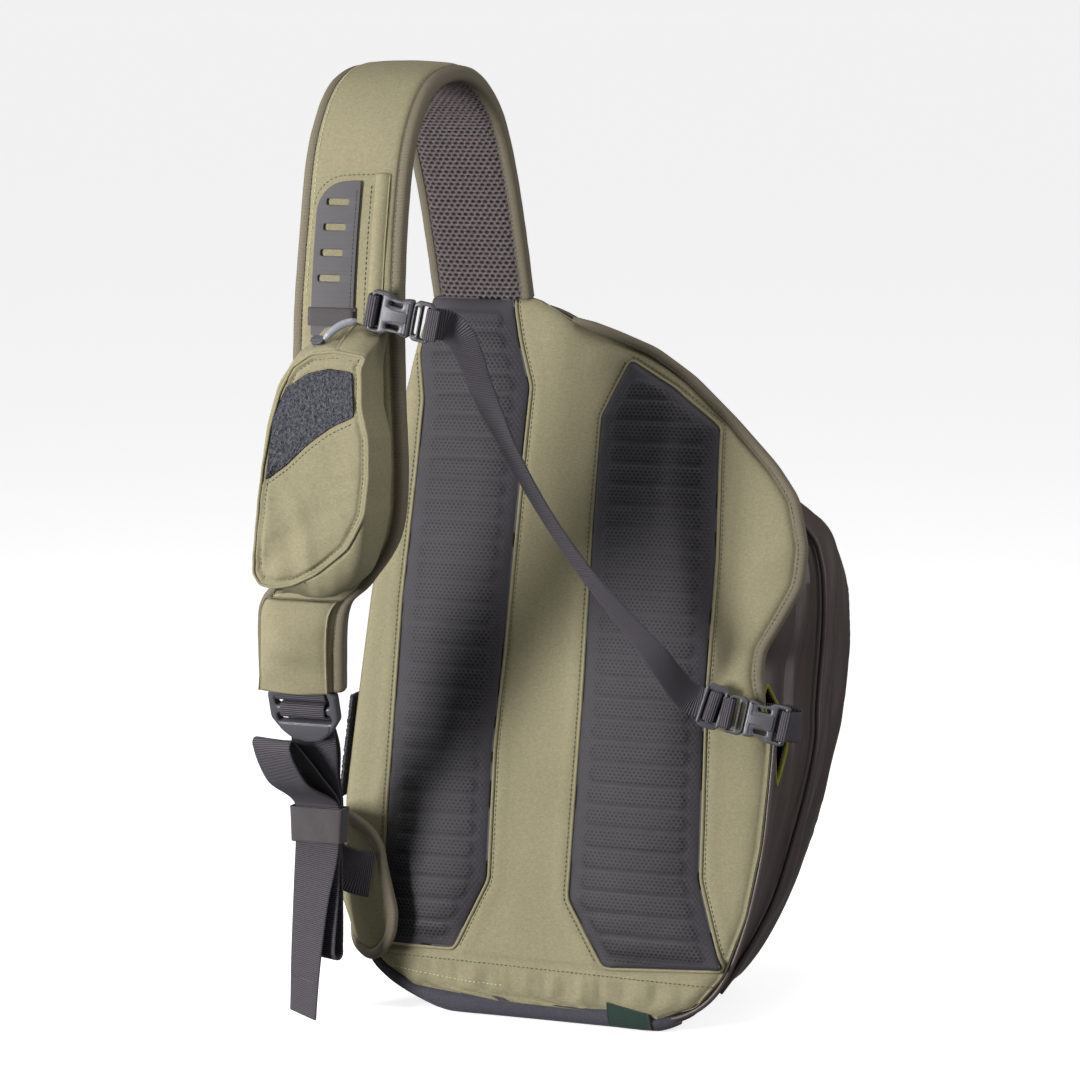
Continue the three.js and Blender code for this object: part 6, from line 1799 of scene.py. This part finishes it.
bar = lockSize["thick"] / 2 + gap + webThick / 2
step = gap + webThick / 2
inside = 12  # half the keeper's height, and a little more
hold = onWing(5, 0.594, 4.7)
toFoot = atKeeper(0, 3.4, -inside)[0] - hold
wingRun = [
    (0, 0, 0, 0, 0, 1), (0.38, 0.2, 0.08, 0.38, 0, 0.92), (0.7, 0.43, 0.29, 0.71, 0, 0.71),
    (0.92, 0.7, 0.62, 0.92, 0, 0.38),
]
stations = [(hold + toFoot * np.array(row[:3]), np.array(row[3:])) for row in wingRun]
stations += [
    atKeeper(0, 3.4, -inside), atKeeper(0, 3.4, inside + 3), atKeeper(3.5, -9.2, 34),
    atLock(-24, -9.5), atLock(-10, -bar - 2.6), atLock(3, -bar - 2.4),
    atLock(lockSize["upper"] + step - 0.9, -bar - 1.6),
    atLock(lockSize["upper"] + step, -bar + 0.4), atLock(lockSize["upper"] + step, bar - 0.9),
    atLock(lockSize["upper"] + step - 0.9, bar),
    atLock(lockSize["lower"] - step + 0.9, bar), atLock(lockSize["lower"] - step, bar - 0.9),
    atLock(lockSize["lower"] - step, -bar + 1),
    atLock(lockSize["lower"] - step - 0.9, -bar), atLock(-10, -bar), atLock(-20, -bar - 0.3),
    atKeeper(3.5, -12.7, 34), atKeeper(0, 1.2, inside + 2), atKeeper(0, 1.2, -inside),
    belowKeeper(0.2, 2.7, 0.8, -4),
    belowKeeper(0.5, 4.2, 0.635, -10), belowKeeper(1.5, 5.2, 0.397, -20), belowKeeper(1.8, 4.1, 0.337, -22),
    belowKeeper(0.6, 1.2, 0.325, -22), belowKeeper(-0.4, -1.4, 0.345, -22), belowKeeper(-0.5, -2.2, 0.413, -20),
    belowKeeper(0, -1.5, 0.635, -10), belowKeeper(0, -1.3, 0.8, -4), atKeeper(0, -1.1, -inside),
    atKeeper(0, -1.1, inside + 1),
    atKeeper(-3.5, -18.2, 34, -8), atKeeper(-9.5, -33.2, 53, -14), atKeeper(-11, -38.7, 58.6, -15),
    atKeeper(-11.5, -42.2, 59, -16),
    atKeeper(-11.5, -44.4, 55.5, -16), atKeeper(-7.5, -31.7, 32, -10), atKeeper(0, -3.4, inside),
    atKeeper(0, -3.4, -inside),
    belowKeeper(-3.5, -5.7, 0.635, -18), belowKeeper(-6.5, -7.7, 0.317, -28),
    belowKeeper(-8.5, -8.2, 0.0357, -33),
]
ribbonPiece("main_ribbon", "main_web", stations, mainWide, step=0.9, soft=0.8)
lowBar, highBar = lockSize["top"] - gap - webThick / 2, lockSize["long"] / 2 + gap + webThick / 2
outBar = lockSize["thick"] / 2 + gap + webThick / 2
spots = [
    (lowBar, -outBar + 1), (lowBar, outBar - 1), (lowBar + 1, outBar), (highBar - 1, outBar),
    (highBar, outBar - 1), (highBar, -outBar + 1), (highBar - 1, -outBar), (lowBar + 1, -outBar)
]
ribbonPiece(
    "lock_ribbon", "lock_loop", stationsAt(lockPlace, spots), lockSize["wide"] - 12, ring=True, step=0.6,
    soft=0.5
)

hemAt, hemSide = belowKeeper(-7.2, -9.1, 0.22, -30)
hem = hemAt + np.linspace(-13.5, 13.5, 24)[:, None] * hemSide
hemOut = np.tile(np.cross(hemSide, [0.0, 0, 1]), (24, 1))
dress(threadPiece("tail_hem", [(hem, hemOut)]), "greyThread", "webbing")

# The keeper: plain tape sewn into a tube, slightly wider at its top
half = keeperSize["half"]
z = np.linspace(-half, half, 16)
ringSpots = []
for grow, order in ((keeperSize["wall"], z), (0.0, z[::-1])):
    for up in order:
        flare = 1 + keeperSize["flare"] * (up / half)
        wide, deep = (keeperSize["wide"] + 2 * grow) * flare, keeperSize["deep"] + 2 * grow
        ring = roundSection(wide, deep, 1.6 + grow * 0.5, 4, 8)
        dent = keeperSize["dent"] * np.sin(ring[:, 0] * 0.35 + up * 0.2) * (np.abs(ring[:, 1]) > 4)
        ringSpots.append(keeperAt + np.stack([ring[:, 0], ring[:, 1] + dent, np.full(len(ring), up)], -1))
keeper = tubePiece("tail_keeper", np.array(ringSpots), True)
dress(keeper, "tape", "webbing", "web_keeper")

# Hip wing
wingLook = {"puff": 2.0, "uneven": 0.5, "rear": 0.9}
a, t = np.meshgrid(np.linspace(0, len(wingRows) - 1.5, 60), np.linspace(0, 1, 34), indexing="ij")
uneven = softNoise((a * 9, t * 80), 30.0, 9, 2) * np.sin(t * math.pi)
puff = wingLook["puff"] * np.sin(np.clip(t, 0.02, 0.98) * math.pi) ** 0.5 + wingLook["uneven"] * uneven
underBinding = wingSize["binding"] * 0.35 + 1.2
frontW, rearW = onWing(a, t, puff, underBinding), onWing(a, t, -puff * wingLook["rear"], underBinding)
dress(tubePiece("hip_flap", np.concatenate([frontW, rearW[:, ::-1]], 1)), "olive", "olive_cloth", "hip_wing")
there = np.linspace(0, 6, 25)
spots = [(x, 0.0) for x in there] + [(6, 0.25), (6, 0.5), (6, 0.75)] + [(x, 1.0) for x in there[::-1]]
spots = np.array(spots)
edgeLine = onWing(spots[:, 0], spots[:, 1])
edgeSide = onWing(spots[:, 0], spots[:, 1], 1.0) - edgeLine
edgeLine, edgeSide = resample(edgeLine, 1.6, False, 2.6, edgeSide)
side, out = framesAlong(edgeLine, edgeSide)
ring = roundSection(wingSize["binding"], wingSize["binding"] * 1.1, 2.2, 4, 4)
dress(
    tubePiece("hip_flap_binding", swept(edgeLine, side, out, ring)), "taupe", "taupe_binding",
    "hip_wing_binding"
)
print("webs done")


# Buckles
def box2(x0, x1, y0, y1):
    return [(x0, y0), (x1, y0), (x1, y1), (x0, y1)]


def mirrored(half):
    return half + [(x, -y) for x, y in half[::-1]]


def plasticPiece(name, parts, place, node):
    dress(placedPart(name, *joinedParts(parts), place), "plastic", "buckle_plastic", node)


l, w = socketSize["long"] / 2, socketSize["wide"] / 2
socketHalf = [
    (-l, w - 1.2), (-l + 1.2, w), (-5, w), (-2.5, w - 0.2), (0.5, w - 2.4), (4.5, w - 2.9), (7.5, w - 1.6),
    (l - 1.2, w - 0.9), (l, w - 2)
]
socketParts = [
    mouldedPlate(
        mirrored(socketHalf),
        [
            box2(-10.2, -6.2, -10.2, 10.2), box2(-1.5, 6.5, w - 6.9, w - 4.4),
            box2(-1.5, 6.5, -w + 4.4, -w + 6.9)
        ],
        7, 1.5, 0, 0.7
    ),
    mouldedPlate(mirrored([(-4.6, 4.6), (-3, 5.2), (3, 3.4), (l - 2.2, 3.0)]), [], 1.4, 0.5, 3.5, 0.6),
    mouldedPlate(box2(l - 3.4, l - 2.0, -9.4, 9.4), [], 1.0, 0.3, 3.4, 0.3),
]
plasticPiece("upper_buckle_socket", socketParts, upperPlace, "upper_socket")
plasticPiece("lower_buckle_socket", socketParts, lowerPlace, "lower_socket")
l2 = plugSize["long"] / 2
plugParts = [
    mouldedPlate(
        mirrored([(-l2, 9.6), (-l2 + 2, 12), (l2 - 2.6, 12), (l2, 9.4)]),
        [box2(-0.9, 3.7, -10, 10), box2(-4.9, -2.6, -8.5, 8.5)], 5.4, 1.2, 0, 0.9
    ),
]
gripPitch = 2.5
for k in range(-3, 4):
    y = k * gripPitch
    plugParts.append(mouldedPlate(box2(-2.2, -1.2, y - 0.7, y + 0.7), [], 6.0, 0.3, 0, 0.2))
plasticPiece("upper_buckle_plug", plugParts, plugPlace(upperPlace), "upper_plug")
plasticPiece("lower_buckle_plug", plugParts, plugPlace(lowerPlace), "lower_plug")
sliderParts = [
    mouldedPlate(
        mirrored([(-7.5, 11.2), (-5, 14), (5, 14), (7.5, 11.2)]),
        [box2(-5.0, -1.2, -10.1, 10.1), box2(1.2, 5.0, -10.1, 10.1)], 3.6, 0.9, 0, 0.9
    ),
    mouldedPlate(box2(-7.3, -5.4, -12, 12), [], 4.8, 0.7, 0.2, 0.6),
    mouldedPlate(box2(5.4, 7.3, -12, 12), [], 4.8, 0.7, 0.2, 0.6),
]
plasticPiece("side_web_slider", sliderParts, sliderPlace, "web_slider")
l, w = lockSize["long"] / 2, lockSize["wide"] / 2
lockHalf = [(l, w - 3), (l - 3, w), (-2, w), (-l * 0.62, w * 0.72), (-l * 0.94, w * 0.4), (-l, w * 0.12)]
lockParts = [
    mouldedPlate(mirrored(lockHalf), [box2(6.5, 13, -18, 18), box2(-4.3, 1.2, -18, 18)], 7, 1.8, 0, 1.4),
    mouldedPlate(mirrored([(-5.2, 17), (-l * 0.6, w * 0.66), (-l * 0.88, w * 0.34)]), [], 1.2, 0.5, 3.3, 0.9),
]
plasticPiece("strap_ladder_lock", lockParts, lockPlace, "ladder_lock")

# Zip slider with its cord and sleeve
zipAt = onPouch(-6, pouchTop + 2.5, 22.0) + np.array([0, -1.5, 1.5])
zipPlace = {"at": zipAt, "along": np.array([1.0, 0, 0]), "out": unit(0, -0.8, 0.75)}
sliderFace = mirrored([(-4.2, 1.6), (-2, 3), (3, 3), (4.2, 1.2)])
sliderBody = [
    mouldedPlate(sliderFace, [], 1.2, 0.4, 1.2, 0.5),
    mouldedPlate(sliderFace, [], 1.2, 0.4, -1.2, 0.5),
    mouldedPlate(mirrored([(-3.4, 0.9), (3.0, 0.9)]), [], 3.4, 0.3, 0.2, 0.3),
]
plasticPiece("pouch_zip_slider", sliderBody, zipPlace, "zip_slider")
sleeveLook = {
    "from": (4.4, -0.6, 1.2), "to": (-18.5, -8.1, -4), "bow": (0, -1.0, 2.6),
    "radius": ([0, 0.05, 0.12, 0.86, 0.93, 1], [1.2, 1.5, 2.3, 2.4, 1.9, 1.3]),
}
start, finishAt = zipAt + np.array(sleeveLook["from"]), upperPlace["at"] + np.array(sleeveLook["to"])
share = np.linspace(0, 1, 40)[:, None]
line = start + (finishAt - start) * share + np.array(sleeveLook["bow"]) * np.sin(share * math.pi)
radius = np.interp(share[:, 0], *sleeveLook["radius"])
side, out = framesAlong(line, np.tile([0.0, 1, 0], (40, 1)))
angle = np.linspace(0, 2 * math.pi, 16, endpoint=False)
circle = np.stack([np.cos(angle), np.sin(angle)], -1)
dress(
    tubePiece("zip_sleeve", sweepPoints(line, side, out, circle[None] * radius[:, None, None])), "sleeve",
    "webbing", "zip_pull"
)
print("buckles done")

# Stage
stageLook = {
    "floor": 0.8, "rough": 0.9, "world": 0.2, "glow": 0.72, "flat": 200, "rim": (220, 8), "under": 0.0004
}


def addStage():
    mesh = bpy.data.meshes.new("floor")
    n = 64
    turn = np.linspace(0, 2 * math.pi, n, endpoint=False)
    # a wide disc with a raised rim, so that the sky doesn't show above it
    rings = [(stageLook["flat"], -stageLook["under"]), stageLook["rim"]]
    points = [(r * math.cos(a), r * math.sin(a), z) for r, z in rings for a in turn]
    rim = [[k, (k + 1) % n, n + (k + 1) % n, n + k] for k in range(n)]
    mesh.from_pydata(points, [], [list(range(n))] + rim)
    floor = bpy.data.objects.new("floor", mesh)
    bpy.context.scene.collection.objects.link(floor)
    s = Shade("pale floor")
    s.done((stageLook["floor"],) * 3, stageLook["rough"], None, glowColour=(1, 1, 1, 1), glow=stageLook["glow"])
    floor.data.materials.append(s.material)
    floor.visible_diffuse = floor.visible_glossy = False
    floor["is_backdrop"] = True
    world = bpy.data.worlds.new("studio")
    world.use_nodes = True
    world.node_tree.nodes["Background"].inputs[0].default_value = (1, 1, 1, 1)
    world.node_tree.nodes["Background"].inputs[1].default_value = stageLook["world"]
    bpy.context.scene.world = world


def addLight(name, azimuth, elevation, distance, wide, tall, power, target=(0, -0.05, 0.3)):
    away = towards(azimuth, elevation)
    data = bpy.data.lights.new(name, "AREA")
    data.shape, data.size, data.size_y, data.energy = "RECTANGLE", wide, tall, power
    lamp = bpy.data.objects.new(name, data)
    lamp.location = Vector(target) + away * distance
    lamp.rotation_euler = (-away).to_track_quat("-Z", "Y").to_euler()
    bpy.context.scene.collection.objects.link(lamp)


addStage()
# azimuth, elevation, distance, width, height, watts
lampRows = {
    "key box": (-31, 4, 1.9, 0.4, 0.8, 60), "left box": (-84, 14, 1.7, 0.5, 1.3, 9),
    "right box": (84, 18, 1.7, 0.5, 1.4, 13), "top box": (10, 74, 1.7, 0.9, 0.9, 12),
}
for name, row in lampRows.items():
    addLight(name, *row)
bpy.context.scene.view_settings.view_transform = "Standard"
print("stage done")

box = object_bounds()
asList = lambda b: [
    [float(x) for x in corner] for corner in b
] if hasattr(b[0], "__len__") else [float(x) for x in b]
{"cad": asList(cadBox), "visual": asList(box)}
